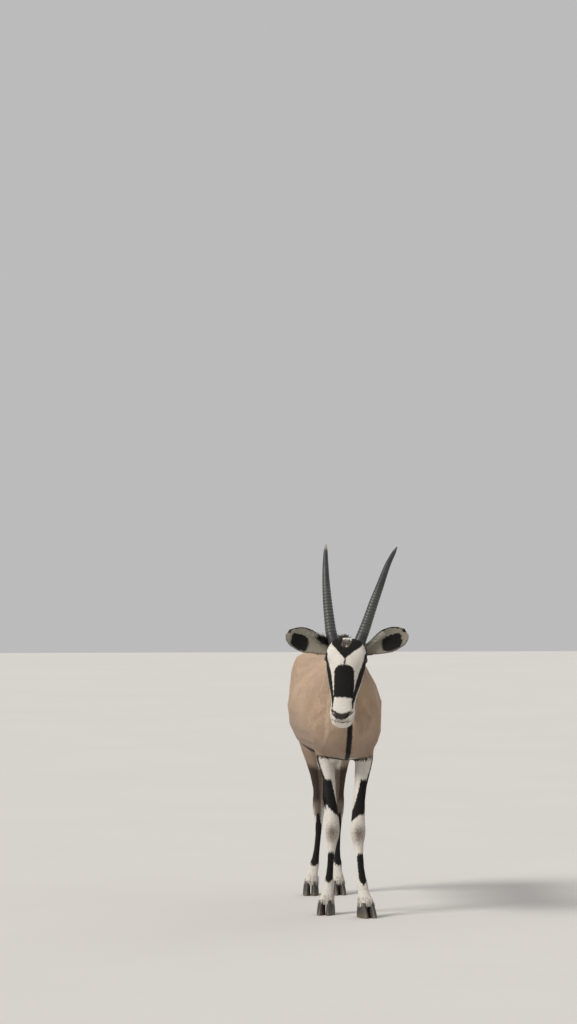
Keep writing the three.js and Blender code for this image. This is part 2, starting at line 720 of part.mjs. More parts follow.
function geometryOf(solid) {
  const mesh = solid.getMesh();
  const geometry = new THREE.BufferGeometry();
  geometry.setAttribute("position", new THREE.Float32BufferAttribute(mesh.vertProperties, 3));
  geometry.setIndex(new THREE.Uint32BufferAttribute(mesh.triVerts, 1));
  return geometry;
}

function joined(solids) {
  return solids.reduce((whole, solid) => whole.add(solid));
}

// A thin saw blade: its middle, the direction it parts, and its two half sizes
function blade(at, normal, halfAcross, halfAlong) {
  const plate = new THREE.BoxGeometry(2 * halfAcross, 2 * halfAlong, SAW_GAP);
  const turn = new THREE.Quaternion().setFromUnitVectors(
    new THREE.Vector3(0, 0, 1),
    new THREE.Vector3(...normal).normalize(),
  );
  plate.applyQuaternion(turn);
  plate.translate(...at);
  return solidOf(plate);
}

// The head's own frame as a matrix
function headMatrix() {
  const rad = THREE.MathUtils.degToRad;
  const turn = new THREE.Matrix4()
    .makeRotationZ(rad(HEAD_YAW_DEG))
    .multiply(new THREE.Matrix4().makeRotationY(rad(HEAD_ROLL_DEG)))
    .multiply(new THREE.Matrix4().makeRotationX(rad(HEAD_PITCH_DEG)));
  return new THREE.Matrix4().makeTranslation(...HEAD_AT).multiply(turn);
}

// An ear: a cupped leaf with an outer and an inner face on the same pattern of points
function ear(rows) {
  const facing = new THREE.Vector3(...EAR_FACING).normalize();
  const curve = rowCurve(rows);
  const rings = ringPlaces(rows, 2).map((place) => {
    const { row, middle, across, up } = frameAt(curve, place, facing);
    const [halfWidth, cup, thickness] = row.slice(3);
    const point = (share, lift) =>
      middle
        .clone()
        .addScaledVector(across, halfWidth * share)
        .addScaledVector(up, -cup * (1 - share * share) + lift);
    const inner = [];
    const outer = [];
    for (let k = 0; k <= EAR_ACROSS; k += 1) {
      const share = -1 + (2 * k) / EAR_ACROSS;
      const half = (thickness / 2) * (0.45 + 0.55 * Math.sqrt(1 - share * share));
      inner.push(point(share, half));
      outer.push(point(share, -half));
    }
    return [...inner, ...outer.reverse()];
  });
  return ringBody(rings);
}

// A claw of a hoof: flat sole on the floor, sloping front, pointed toe
function claw(foot, whichSide) {
  const turn = THREE.MathUtils.degToRad(foot.toeOutDeg) * foot.side;
  const offset = (whichSide * (foot.width + CLAW_CLEFT)) / 2;
  const rings = CLAW_LEVELS.map(([height, lengthShare, widthShare, back]) =>
    Array.from({ length: CLAW_AROUND }, (_, k) => {
      const angle = (2 * Math.PI * k) / CLAW_AROUND;
      const toe = (1 + Math.cos(angle)) / 2;
      const narrowing = 1 - 0.3 * toe * toe;
      const halfLength = (foot.length * lengthShare) / 2;
      const inwards = Math.sin(angle) * whichSide < 0 ? 0.86 : 1;
      const halfWidth = (foot.width * widthShare * narrowing * inwards) / 2;
      const x = offset * (0.55 + 0.45 * widthShare) + halfWidth * Math.sin(angle) - whichSide * 2.5 * toe;
      const y = -halfLength * Math.sign(Math.cos(angle)) * Math.abs(Math.cos(angle)) ** 0.85 + back;
      const [c, s] = [Math.cos(turn), Math.sin(turn)];
      return new THREE.Vector3(foot.at[0] + c * x - s * y, foot.at[1] + s * x + c * y, height);
    }),
  );
  return ringBody(rings);
}

const UP = new THREE.Vector3(0, 0, 1);
const FORWARD = new THREE.Vector3(0, -1, 0);
const placeHead = headMatrix();

const torso = solidOf(swell(loft(TORSO, TORSO_AROUND, 2, UP), TORSO_SWELLS));
const neck = solidOf(loft(NECK, NECK_AROUND, 2, UP));
const head = solidOf(swell(loft(HEAD, HEAD_AROUND, 2, FORWARD), HEAD_SWELLS).applyMatrix4(placeHead));
const legs = [FORELEG_RIGHT, FORELEG_LEFT, HINDLEG_RIGHT, HINDLEG_LEFT].map((rows) =>
  solidOf(loft(rows, LEG_AROUND, 1, FORWARD)),
);
const horns = [HORN_RIGHT, HORN_LEFT].map((rows) => solidOf(horn(rows)));
const ears = [EAR_RIGHT, EAR_LEFT].map((rows) => solidOf(ear(rows)));
const dock = solidOf(loft(TAIL_DOCK, TAIL_AROUND, 2, FORWARD));
const tuftCore = solidOf(loft(TAIL_TUFT_CORE, TAIL_AROUND, 1, FORWARD));

const eyePlaces = [-1, 1].map((side) =>
  new THREE.Vector3(side * EYE_AT[0], EYE_AT[1], EYE_AT[2]).applyMatrix4(placeHead),
);
const eyeBall = (place, radius) => {
  const ball = new THREE.SphereGeometry(radius, EYE_AROUND, EYE_LEVELS);
  ball.translate(place.x, place.y, place.z);
  return solidOf(ball);
};

const headWithLids = joined([head, lidDome(-1), lidDome(1)]);
const flesh = [torso, neck, headWithLids, ...legs, ...DEWCLAWS.flatMap(dewclaws), ...horns, ...ears];
const hair = [...maneLocks(), dock, tuftCore, ...tuftLocks()];
const hollows = [
  ...eyePlaces.map((place) => eyeBall(place, EYE_SOCKET_RADIUS)),
  lidOpening(-1),
  lidOpening(1),
  ...nostrils(),
  mouthGroove(),
];
const whole = hollows.reduce((body, hollow) => body.subtract(hollow), joined([...flesh, ...hair]));

// Saw cuts between the pieces
const hornBlade = (rows) => {
  const curve = rowCurve(rows);
  const frame = frameAt(curve, HORN_CUT, FORWARD);
  return blade(frame.middle.toArray(), frame.along.toArray(), 34, 34);
};
const legBlade = (rows, z, halfX, halfY) => {
  const nearest = rows.reduce((best, row) => (Math.abs(row[2] - z) < Math.abs(best[2] - z) ? row : best));
  return blade([nearest[0], nearest[1], z], [0, 0, 1], halfX, halfY);
};
const blades = [
  blade([-36, -292, 1150], [-0.1, -0.985, 0.1], 150, 150),
  blade([0, -62, 1000], [0, -0.87, 0.49], 210, 280),
  ...[HORN_RIGHT, HORN_LEFT].map(hornBlade),
  blade([-125, -340, 1191], [-0.93, 0, 0.37], 36, 36),
  blade([54, -340, 1184], [0.93, 0, 0.37], 36, 36),
  blade([0.5, 1030, 1048], [0, 0.55, -0.83], 28, 26),
  blade([10, 1056, TUFT_CUT_Z], [0, 0, 1], 40, 40),
  ...[FORELEG_RIGHT, FORELEG_LEFT].flatMap((rows) => [
    legBlade(rows, FORE_CUT_Z, 46, 60),
    legBlade(rows, KNEE_CUT_Z, 46, 60),
    legBlade(rows, CORONET_Z, 60, 60),
  ]),
  ...[HINDLEG_RIGHT, HINDLEG_LEFT].flatMap((rows) => [
    legBlade(rows, HIND_CUT_Z, 70, 132),
    legBlade(rows, HOCK_CUT_Z, 46, 80),
    legBlade(rows, CORONET_Z, 60, 60),
  ]),
];
const parted = whole.subtract(joined(blades)).decompose();

// The piece of the parted body that holds a point
function pieceAt(point) {
  const probe = solidOf(new THREE.BoxGeometry(4, 4, 4).translate(...point));
  const found = parted.find((piece) => piece.intersect(probe).volume() > 1);
  if (!found) throw new Error("no piece of the body holds the point " + point);
  return found;
}

const part = new THREE.Group();

function addNode(name, solid, colour, roughness) {
  const material = new THREE.MeshStandardMaterial({ color: colour, roughness, metalness: 0 });
  const mesh = new THREE.Mesh(geometryOf(solid), material);
  mesh.name = name;
  part.add(mesh);
}

const BODY_PIECES = [
  { name: "torso", point: [0, 400, 900], colour: TAN },
  { name: "neck", point: [-16, -150, 1080], colour: TAN },
  { name: "head", point: [-42, -390, 1100], colour: PALE },
  { name: "horn_right", point: [-106, -280, 1381], colour: HORN_GREY },
  { name: "horn_left", point: [89, -281, 1381], colour: HORN_GREY },
  { name: "ear_right", point: [-205, -317, 1240], colour: TAN },
  { name: "ear_left", point: [150, -317, 1241], colour: TAN },
  { name: "foreleg_right_upper", point: [-63, 62, 580], colour: BLACK },
  { name: "foreleg_right_lower", point: [-58, 63, 270], colour: PALE },
  { name: "foreleg_left_upper", point: [66, 18, 580], colour: BLACK },
  { name: "foreleg_left_lower", point: [59, -33, 270], colour: PALE },
  { name: "hindleg_right_upper", point: [-56, 868, 620], colour: DARK_BROWN },
  { name: "hindleg_right_lower", point: [-28, 998, 270], colour: PALE },
  { name: "hindleg_left_upper", point: [68, 884, 620], colour: DARK_BROWN },
  { name: "hindleg_left_lower", point: [66, 1014, 270], colour: PALE },
  { name: "tail_dock", point: [5, 1053, 900], colour: DARK_BROWN },
  { name: "tail_tuft", point: [13, 1058, 580], colour: BLACK },
];
for (const { name, point, colour } of BODY_PIECES) addNode(name, pieceAt(point), colour, 0.85);

eyePlaces.forEach((place, i) => {
  addNode(i === 0 ? "eye_right" : "eye_left", eyeBall(place, EYE_RADIUS), EYE_BROWN, 0.15);
});

for (const foot of FEET) {
  for (const [word, whichSide] of [["outer", foot.side], ["inner", -foot.side]]) {
    addNode(`hoof_${foot.name}_${word}`, solidOf(claw(foot, whichSide)), HOOF_GREY, 0.6);
  }
}

// The origin goes to the middle of the footprint on the floor
const box = new THREE.Box3().setFromObject(part);
part.children.forEach((mesh) => {
  mesh.position.set(-(box.min.x + box.max.x) / 2, -(box.min.y + box.max.y) / 2, -box.min.z);
});

export default part;
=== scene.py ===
import math

import bpy
import numpy as np
from mathutils import Matrix, Vector
from mathutils.bvhtree import BVHTree


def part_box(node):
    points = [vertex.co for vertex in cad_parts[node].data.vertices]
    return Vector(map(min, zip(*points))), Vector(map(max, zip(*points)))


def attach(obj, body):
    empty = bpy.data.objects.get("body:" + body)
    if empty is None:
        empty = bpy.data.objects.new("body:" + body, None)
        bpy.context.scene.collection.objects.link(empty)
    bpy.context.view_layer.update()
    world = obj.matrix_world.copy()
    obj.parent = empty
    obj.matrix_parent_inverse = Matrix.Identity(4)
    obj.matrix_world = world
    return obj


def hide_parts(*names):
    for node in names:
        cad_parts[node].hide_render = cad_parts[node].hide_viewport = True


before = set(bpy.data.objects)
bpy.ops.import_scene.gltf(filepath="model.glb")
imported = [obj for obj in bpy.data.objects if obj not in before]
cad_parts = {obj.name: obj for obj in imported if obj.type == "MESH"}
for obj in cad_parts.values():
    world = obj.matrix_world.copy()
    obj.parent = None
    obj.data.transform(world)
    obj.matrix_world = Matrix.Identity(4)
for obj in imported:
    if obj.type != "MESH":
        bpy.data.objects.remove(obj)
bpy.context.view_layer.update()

bl_info = {
    "name": "Gemsbok Model",
    "version": (1, 0, 0),
    "blender": (4, 5, 0),
    "location": "3D View > Sidebar > Gemsbok",
    "description": "Builds the skin, coat, horns, hooves, eyes and tail of a still, life-size gemsbok",
    "category": "Mesh",
}

MM = 0.001
BODY = "root"
UV_NAME = "OFBake"

# The head's own frame: origin between the eyes, z up the face towards the poll, -y out of the face
HEAD_AT = np.array((-37.0, -390.0, 1155.0))
HEAD_PITCH = math.radians(-12)
HEAD_ROLL = math.radians(3)
HEAD_YAW = math.radians(-9.5)
HEAD_TURN = np.array(
    Matrix.Rotation(HEAD_YAW, 3, "Z")
    @ Matrix.Rotation(HEAD_ROLL, 3, "Y")
    @ Matrix.Rotation(HEAD_PITCH, 3, "X")
)
EYE_AT = np.array((72.0, -14.0, 0.0))
SIDES = {"right": -1, "left": 1}
# The way the left eye looks, the way its upper lid lies, and the lids' shell, opening and fold
EYE_LOOKS = np.array((0.870, -0.490, 0.050))
EYE_LOOKS /= np.linalg.norm(EYE_LOOKS)
EYE_UPPER = np.array((0.0, -0.82, 0.57))
EYE_UPPER -= EYE_LOOKS * (EYE_UPPER @ EYE_LOOKS)
EYE_UPPER /= np.linalg.norm(EYE_UPPER)
EYE_CORNER = np.cross(EYE_UPPER, EYE_LOOKS)
LID_RADIUS = 21.4
LID_EDGE = 19.2
LID_INSIDE = 16.5
LID_ROUND = 2.2
LID_FOLD = 0.9
LID_FOLD_AT = 5.0
OPENING_HALF_LENGTH = 16.0
OPENING_ABOVE = 10.0
OPENING_BELOW = 7.5

# Horns: x, y, z of the middle line and radius, from inside the skull to the tip
HORN_PATHS = {
    "right": (
        (-82, -352, 1205, 24.0), (-88, -345, 1234, 25.4), (-96, -333, 1265, 24.2),
        (-102, -306, 1325, 22.0), (-106, -280, 1381, 20.3), (-109, -237, 1468, 17.2),
        (-106, -171, 1585, 11.6), (-102, -140, 1636, 7.0), (-100, -128, 1655, 2.2),
    ),
    "left": (
        (12, -352, 1205, 24.0), (28, -345, 1234, 25.4), (43, -332, 1267, 24.2),
        (66, -306, 1322, 22.0), (89, -281, 1381, 20.3), (126, -237, 1467, 17.2),
        (177, -174, 1580, 11.6), (205, -145, 1626, 7.0), (215, -137, 1642, 2.2),
    ),
}

# Ears: x, y, z of the middle line, half width and thickness, from root to tip
EAR_PATHS = {
    "right": (
        (-86, -346, 1184, 20, 10), (-118, -341, 1194, 22, 8), (-150, -338, 1208, 34, 6.5),
        (-188, -334, 1229, 52, 5), (-226, -331, 1243, 54, 4.2), (-256, -330, 1253, 46, 3.6),
        (-276, -330, 1264, 34, 2.8), (-288, -330, 1273, 17, 2.2),
    ),
    "left": (
        (6, -346, 1176, 20, 10), (38, -342, 1185, 20, 8), (70, -339, 1198, 27, 7),
        (104, -336, 1213, 40, 6), (140, -334, 1230, 52, 5), (176, -331, 1244, 53, 4.2),
        (204, -330, 1254, 46, 3.6), (224, -330, 1264, 34, 2.8), (236, -330, 1272, 17, 2.2),
    ),
}
EAR_FACING = np.array((0.0, -0.993, 0.119))

# Leg middle lines on the plan, from the top to the coronet: z, x, y
LEG_LINES = {
    "fore_right": ((690, -83, 67), (580, -63, 62), (460, -54, 58), (345, -54, 58), (270, -58, 63),
                   (170, -65, 69), (130, -67, 68), (86, -76, 54), (55, -84, 41)),
    "fore_left": ((690, 88, 48), (580, 70, 18), (460, 57, -6), (345, 54, -20), (270, 60, -33),
                  (170, 68, -49), (130, 71, -57), (86, 78, -78), (55, 85, -94)),
    "hind_right": ((810, -94, 844), (690, -73, 856), (568, -45, 906), (500, -34, 946), (448, -30, 980),
                   (405, -27, 999), (325, -23, 1005), (210, -35, 985), (130, -50, 957), (55, -69, 914)),
    "hind_left": ((810, 94, 847), (690, 77, 866), (568, 67, 922), (500, 69, 963), (448, 70, 997),
                  (405, 70, 1016), (325, 69, 1022), (210, 63, 1001), (130, 60, 973), (55, 59, 930)),
}
FEET = ("front_right", "front_left", "hind_right", "hind_left")

# The top line of the neck and withers under the mane: x, y, z
NAPE_LINE = (
    (-37, -300, 1228), (-33, -262, 1226), (-28, -182, 1216), (-18, -90, 1187), (-6, -10, 1150),
    (-1, 40, 1137), (0, 90, 1142), (0, 118, 1146), (0, 190, 1142),
)

# The tail's middle line, down through its long hair: x, y, z
TAIL_LINE = (
    (0, 1015, 1064), (1, 1038, 1036), (3, 1049, 985), (5, 1053, 900), (8, 1055, 820), (10, 1056, 750),
    (11, 1057, 700), (12, 1058, 620), (13, 1058, 560),
)

# Limits on the plan: where the chest's front ends, where the forelegs end behind, where the hind legs
# and the tail begin, and below which height the dock hangs free
CHEST_BACK = 130
FORELEG_BACK = 300
HIND_FRONT = 640
TAIL_FRONT = 1026
DOCK_TOP = 1070

FLESH = tuple(
    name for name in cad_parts
    if name.startswith(("torso", "neck", "head", "ear", "foreleg", "hindleg", "tail_dock"))
)


def node_middle(name):
    """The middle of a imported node's box."""
    low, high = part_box(name)
    return np.array((low + high) / 2)


# Where the plan's origin lies in the frame, worked out from the left eye
PLAN_ORIGIN = node_middle("eye_left") - (HEAD_AT + HEAD_TURN @ EYE_AT) * MM


def to_plan(points):
    return (points - PLAN_ORIGIN) / MM


def to_head(points):
    return (to_plan(points) - HEAD_AT) @ HEAD_TURN


def from_plan(points):
    return np.asarray(points, float) * MM + PLAN_ORIGIN


def from_head(points):
    return from_plan(np.asarray(points, float) @ HEAD_TURN.T + HEAD_AT)


# Settings that a user would change
def linear(red, green, blue):
    """An 8-bit colour as Blender's linear one."""
    def channel(value):
        share = value / 255
        return share / 12.92 if share <= 0.04045 else ((share + 0.055) / 1.055) ** 2.4

    return (channel(red), channel(green), channel(blue))


def colour(name, description, *rgb):
    return bpy.props.FloatVectorProperty(
        name=name, description=description, default=linear(*rgb), size=3, min=0, max=1, subtype="COLOR"
    )


def length(name, description, default):
    return bpy.props.FloatProperty(
        name=name, description=description, default=default, min=0, precision=5, unit="LENGTH"
    )


class GemsbokColours(bpy.types.PropertyGroup):
    tan: colour("Tan", "Back, flanks and neck", 190, 162, 137)
    grey_tan: colour("Grey tan", "Shaded parts of the tan coat", 160, 139, 121)
    ash: colour("Ash", "Inside of the ears", 148, 142, 128)
    pale: colour("Pale", "Face, belly and lower legs", 222, 216, 206)
    brown: colour("Brown", "Thigh bands", 62, 48, 39)
    smudge: colour("Smudge", "Knee patches and the edge of the lips", 118, 103, 92)
    black: colour("Black", "Face marks, flank band and leg marks", 19, 18, 17)
    horn: colour("Horn", "Horn sheath", 44, 46, 48)
    # The horn tip's paleness is partly wear, partly painted highlight.
    horn_tip: colour("Horn tip", "Worn tip of the horn", 150, 142, 130)
    hoof: colour("Hoof", "Claws and dewclaws", 40, 36, 33)
    # Bare skin also colours the band under the nose, which is partly painted shade.
    skin: colour("Bare skin", "Nose pad, lid rims and inside of the nostrils", 48, 42, 40)
    iris: colour("Iris", "Eye", 46, 26, 14)
    floor: colour("Floor", "Plain studio floor", 205, 202, 198)


class GemsbokSizes(bpy.types.PropertyGroup):
    voxel: length("Voxel", "Cell of the skin's first mesh", 0.004)
    swell: length("Swell", "How far the copied pieces grow, so that they join", 0.0015)
    coat_depth: length("Coat depth", "How far the skin lies inside the coat on the body", 0.0018)
    face_depth: length("Face coat depth", "How far the skin lies inside the coat on the face", 0.0006)
    eye_radius: length("Eye radius", "Radius of the eyeball", 0.0189)


class GemsbokStage(bpy.types.PropertyGroup):
    camera_height: length("Camera height", "Height of the lens above the floor", 1.85)
    camera_distance: length("Camera distance", "From the plan's origin to the lens", 17.55)
    camera_turn: bpy.props.FloatProperty(
        name="Camera turn", description="Angle of the view from straight ahead", default=math.radians(-5.0),
        subtype="ANGLE",
    )
    aside: length("Aside", "How far the view's middle passes the plan's origin", 0.254)
    lens: bpy.props.FloatProperty(
        name="Lens", description="Focal length", default=138.5, subtype="DISTANCE_CAMERA"
    )


# Helpers for objects
def deselect():
    if bpy.context.object and bpy.context.object.mode != "OBJECT":
        bpy.ops.object.mode_set(mode="OBJECT")
    bpy.ops.object.select_all(action="DESELECT")


def only(obj):
    """Makes an object the one selected and active one."""
    deselect()
    obj.select_set(True)
    bpy.context.view_layer.objects.active = obj
    return obj


def coords(mesh):
    places = np.empty(len(mesh.vertices) * 3)
    mesh.vertices.foreach_get("co", places)
    return places.reshape(-1, 3)


def set_coords(mesh, places):
    mesh.vertices.foreach_set("co", np.ascontiguousarray(places, float).ravel())
    mesh.update()


def normals(mesh):
    ways = np.empty(len(mesh.vertices) * 3, np.float32)
    mesh.vertex_normals.foreach_get("vector", ways)
    return ways.reshape(-1, 3).astype(float)


def modify(obj, kind, **settings):
    """Adds a modifier with its settings and applies it."""
    only(obj)
    modifier = obj.modifiers.new(kind.lower(), kind)
    for key, value in settings.items():
        setattr(modifier, key, value)
    bpy.ops.object.modifier_apply(modifier=modifier.name)
    return obj


def weight_group(obj, name, weights):
    """A vertex group from an array of weights, set in steps of a twentieth."""
    group = obj.vertex_groups.new(name=name)
    steps = np.round(np.clip(weights, 0, 1) * 20).astype(int)
    for step in range(1, 21):
        group.add(np.nonzero(steps == step)[0].tolist(), step / 20, "REPLACE")
    return group.name


def copy_nodes(names, name):
    """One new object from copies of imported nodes, its loose triangles merged."""
    copies = []
    for node in names:
        copy = bpy.data.objects.new(node + "_copy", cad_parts[node].data.copy())
        bpy.context.scene.collection.objects.link(copy)
        copies.append(copy)
    only(copies[0])
    for copy in copies:
        copy.select_set(True)
    if len(copies) > 1:
        bpy.ops.object.join()
    obj = bpy.context.active_object
    obj.name = name
    obj.data.name = name
    obj.data.materials.clear()
    bpy.ops.object.mode_set(mode="EDIT")
    bpy.ops.mesh.select_all(action="SELECT")
    bpy.ops.mesh.remove_doubles(threshold=1e-5)
    bpy.ops.object.mode_set(mode="OBJECT")
    return obj


def mesh_object(name, places, faces):
    """A new object from arrays: places of n by 3, faces of m by 3 or by 4."""
    mesh = bpy.data.meshes.new(name)
    sides = faces.shape[1]
    mesh.vertices.add(len(places))
    mesh.vertices.foreach_set("co", np.ascontiguousarray(places, float).ravel())
    mesh.loops.add(faces.size)
    mesh.loops.foreach_set("vertex_index", np.ascontiguousarray(faces, np.int32).ravel())
    mesh.polygons.add(len(faces))
    mesh.polygons.foreach_set("loop_start", np.arange(0, faces.size, sides, dtype=np.int32))
    mesh.polygons.foreach_set("use_smooth", np.ones(len(faces), bool))
    mesh.update(calc_edges=True)
    obj = bpy.data.objects.new(name, mesh)
    bpy.context.scene.collection.objects.link(obj)
    return obj


def write_field(mesh, name, values):
    layer = mesh.attributes.new(name, "FLOAT", "POINT")
    layer.data.foreach_set("value", np.ascontiguousarray(values, np.float32))


def finish_piece(obj, replaced=()):
    """Rides the piece on the body and hides the nodes it stands for."""
    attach(obj, BODY)
    if replaced:
        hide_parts(*replaced)
    return obj


# Helpers for shapes
def polyline(rows, count):
    """Points spaced evenly along a smooth curve through rows of numbers, by the rows' first three."""
    rows = np.asarray(rows, float)
    spans = np.linalg.norm(np.diff(rows[:, :3], axis=0), axis=1)
    at = np.concatenate(([0], np.cumsum(spans)))
    slopes = np.gradient(rows, at, axis=0)
    wanted = np.linspace(0, at[-1], count)
    index = np.clip(np.searchsorted(at, wanted, side="right") - 1, 0, len(rows) - 2)
    span = (at[index + 1] - at[index])[:, None]
    share = (wanted - at[index])[:, None] / span
    first = (2 * share ** 3 - 3 * share ** 2 + 1) * rows[index]
    first += (share ** 3 - 2 * share ** 2 + share) * span * slopes[index]
    second = (3 * share ** 2 - 2 * share ** 3) * rows[index + 1]
    second += (share ** 3 - share ** 2) * span * slopes[index + 1]
    return first + second


def strip(points, rows):
    """How far inside a band along a line each point lies: rows are x, y, z and half width."""
    rows = np.asarray(rows, float)
    best = np.full(len(points), -1e6)
    for start, end in zip(rows[:-1], rows[1:]):
        along = end[:3] - start[:3]
        share = np.clip((points - start[:3]) @ along / (along @ along), 0, 1)
        middle = start[:3] + share[:, None] * along
        reach = start[3] + share * (end[3] - start[3])
        best = np.maximum(best, reach - np.linalg.norm(points - middle, axis=1))
    return best


def along_line(points, rows):
    """The nearest place on a line of rows: index with share, distance and the line's row there."""
    rows = np.asarray(rows, float)
    best = np.full(len(points), 1e9)
    place = np.zeros(len(points))
    found = np.zeros((len(points), rows.shape[1]))
    for index, (start, end) in enumerate(zip(rows[:-1], rows[1:])):
        along = end[:3] - start[:3]
        share = np.clip((points - start[:3]) @ along / (along @ along), 0, 1)
        row = start + share[:, None] * (end - start)
        distance = np.linalg.norm(points - row[:, :3], axis=1)
        nearer = distance < best
        best = np.where(nearer, distance, best)
        place = np.where(nearer, index + share, place)
        found = np.where(nearer[:, None], row, found)
    return place / (len(rows) - 1), best, found


def unit(ways):
    return ways / np.maximum(np.linalg.norm(ways, axis=-1, keepdims=True), 1e-9)


def smooth_step(low, high, values):
    share = np.clip((values - low) / (high - low), 0, 1)
    return share * share * (3 - 2 * share)


def tube(rows, around):
    """Rings round a path of x, y, z and radius, with both ends closed to a point."""
    rows = np.asarray(rows, float)
    middles = rows[:, :3]
    ways = unit(np.gradient(middles, axis=0))
    across = unit(np.cross(ways, (0.0, 1.0, 0.2)))
    up = np.cross(ways, across)
    angles = np.linspace(0, 2 * math.pi, around, endpoint=False)
    ring = np.cos(angles)[None, :, None] * across[:, None] + np.sin(angles)[None, :, None] * up[:, None]
    places = middles[:, None] + rows[:, 3][:, None, None] * ring
    count = len(rows)
    flat = np.vstack((places.reshape(-1, 3), middles[0], middles[-1]))
    faces = []
    for i in range(count - 1):
        for k in range(around):
            a = i * around + k
            b = i * around + (k + 1) % around
            faces.append((a, b, b + around))
            faces.append((a, b + around, a + around))
    first, last = count * around, count * around + 1
    for k in range(around):
        faces.append((first, (k + 1) % around, k))
        a = (count - 1) * around
        faces.append((last, a + k, a + (k + 1) % around))
    return flat, np.array(faces)


# Materials
class Nodes:
    """A short way to write a material's nodes: each call adds one and links or sets its inputs."""

    def __init__(self, name):
        self.material = bpy.data.materials.new(name)
        self.material.use_nodes = True
        self.tree = self.material.node_tree
        self.tree.nodes.clear()
        self.output = self.tree.nodes.new("ShaderNodeOutputMaterial")

    def add(self, kind, inputs=(), **settings):
        node = self.tree.nodes.new("ShaderNode" + kind)
        for key, value in settings.items():
            setattr(node, key, value)
        for key, value in dict(inputs).items():
            self.put(node.inputs[key], value)
        return node

    def put(self, socket, value):
        if isinstance(value, bpy.types.NodeSocket):
            self.tree.links.new(value, socket)
        elif socket.type == "RGBA" and len(value) == 3:
            socket.default_value = (*value, 1)
        else:
            socket.default_value = value

    def place(self):
        return self.add("TexCoord").outputs["Object"]

    def field(self, name):
        return self.add("Attribute", attribute_name=name).outputs["Fac"]

    def noise(self, vector, scale, detail=3.0, roughness=0.55):
        inputs = {"Vector": vector, "Scale": scale, "Detail": detail, "Roughness": roughness}
        return self.add("TexNoise", inputs).outputs["Fac"]

    def stretch(self, vector, scale):
        return self.add("Mapping", {"Vector": vector, "Scale": scale}).outputs["Vector"]

    def ramp(self, value, low, high, to_low=0.0, to_high=1.0):
        inputs = {"Value": value, "From Min": low, "From Max": high, "To Min": to_low, "To Max": to_high}
        return self.add("MapRange", inputs, interpolation_type="SMOOTHSTEP").outputs["Result"]

    def sum(self, first, second, operation="ADD"):
        return self.add("Math", {0: first, 1: second}, operation=operation).outputs[0]

    def mix(self, share, first, second, blend="MIX"):
        node = self.add("Mix", data_type="RGBA", blend_type=blend)
        for socket, value in zip((node.inputs[0], node.inputs[6], node.inputs[7]), (share, first, second)):
            self.put(socket, value)
        return node.outputs[2]

    def bump(self, height, distance, strength=1.0):
        inputs = {"Height": height, "Distance": distance, "Strength": strength}
        return self.add("Bump", inputs).outputs["Normal"]

    def finish(self, inputs):
        shader = self.add("BsdfPrincipled", inputs)
        self.tree.links.new(shader.outputs[0], self.output.inputs["Surface"])
        return self.material


# Noise of the coat, in cells to the metre, and how far a mark's edge strays, in millimetres
EDGE_NOISE = 160.0
EDGE_STRAY = 2.2
TONE_NOISE = 7.0
HAIR_NOISE = (420.0, 140.0, 140.0)
# The coat's marks from the lowest to the top one: field, softness of its edge in millimetres, and colour.
# The grey mark on the lower body is painted shade; the bare skin mark holds a band of partly painted shade
# under the nose.
MARK_LAYERS = (
    ("grey", 26.0, "grey_tan"), ("ash", 8.0, "ash"), ("pale", 5.0, "pale"), ("smudge", 9.0, "smudge"),
    ("brown", 9.0, "brown"), ("black", 1.6, "black"), ("bare", 3.5, "skin"),
)
# How dark and how light a tuft turns
TUFT_DARK = 0.78
TUFT_LIGHT = 1.16


def coat_material(name, colours):
    """The coat's colours from the fields that skin and tufts share: how far inside each mark a place is."""
    nodes = Nodes(name)
    place = nodes.place()
    ragged = nodes.ramp(nodes.noise(place, EDGE_NOISE, 2.0), 0.25, 0.75, -EDGE_STRAY, EDGE_STRAY)
    broad = nodes.noise(place, TONE_NOISE, 3.0)
    fine = nodes.noise(nodes.stretch(place, HAIR_NOISE), 1.0, 2.0)
    coat = nodes.mix(nodes.ramp(broad, 0.25, 0.75, 0.4, 1.0), colours.grey_tan, colours.tan)
    for field, soft, tint in MARK_LAYERS:
        share = nodes.ramp(nodes.sum(nodes.field(field), ragged), -soft, soft)
        coat = nodes.mix(share, coat, getattr(colours, tint))
    light = nodes.ramp(nodes.sum(nodes.field("shade"), fine), -0.2, 1.2, TUFT_DARK, TUFT_LIGHT)
    light = nodes.add("CombineColor", {0: light, 1: light, 2: light}).outputs[0]
    coat = nodes.mix(1.0, coat, light, "MULTIPLY")
    bump = nodes.bump(fine, 0.0008, 0.6)
    rough = nodes.ramp(nodes.field("bare"), -2.0, 2.0, 0.78, 0.42)
    return nodes.finish({
        "Base Color": coat, "Roughness": rough, "Normal": bump, "Specular IOR Level": 0.2,
        "Sheen Weight": 0.04, "Sheen Roughness": 0.6,
    })


def hair_material(name, dark, light):
    nodes = Nodes(name)
    place = nodes.place()
    strand = nodes.noise(nodes.stretch(place, (600.0, 600.0, 40.0)), 1.0, 2.0)
    share = nodes.ramp(nodes.sum(nodes.field("shade"), strand), 0.2, 1.2)
    return nodes.finish({
        "Base Color": nodes.mix(share, dark, light), "Roughness": 0.5,
        "Normal": nodes.bump(strand, 0.0005, 0.5), "Specular IOR Level": 0.4,
    })


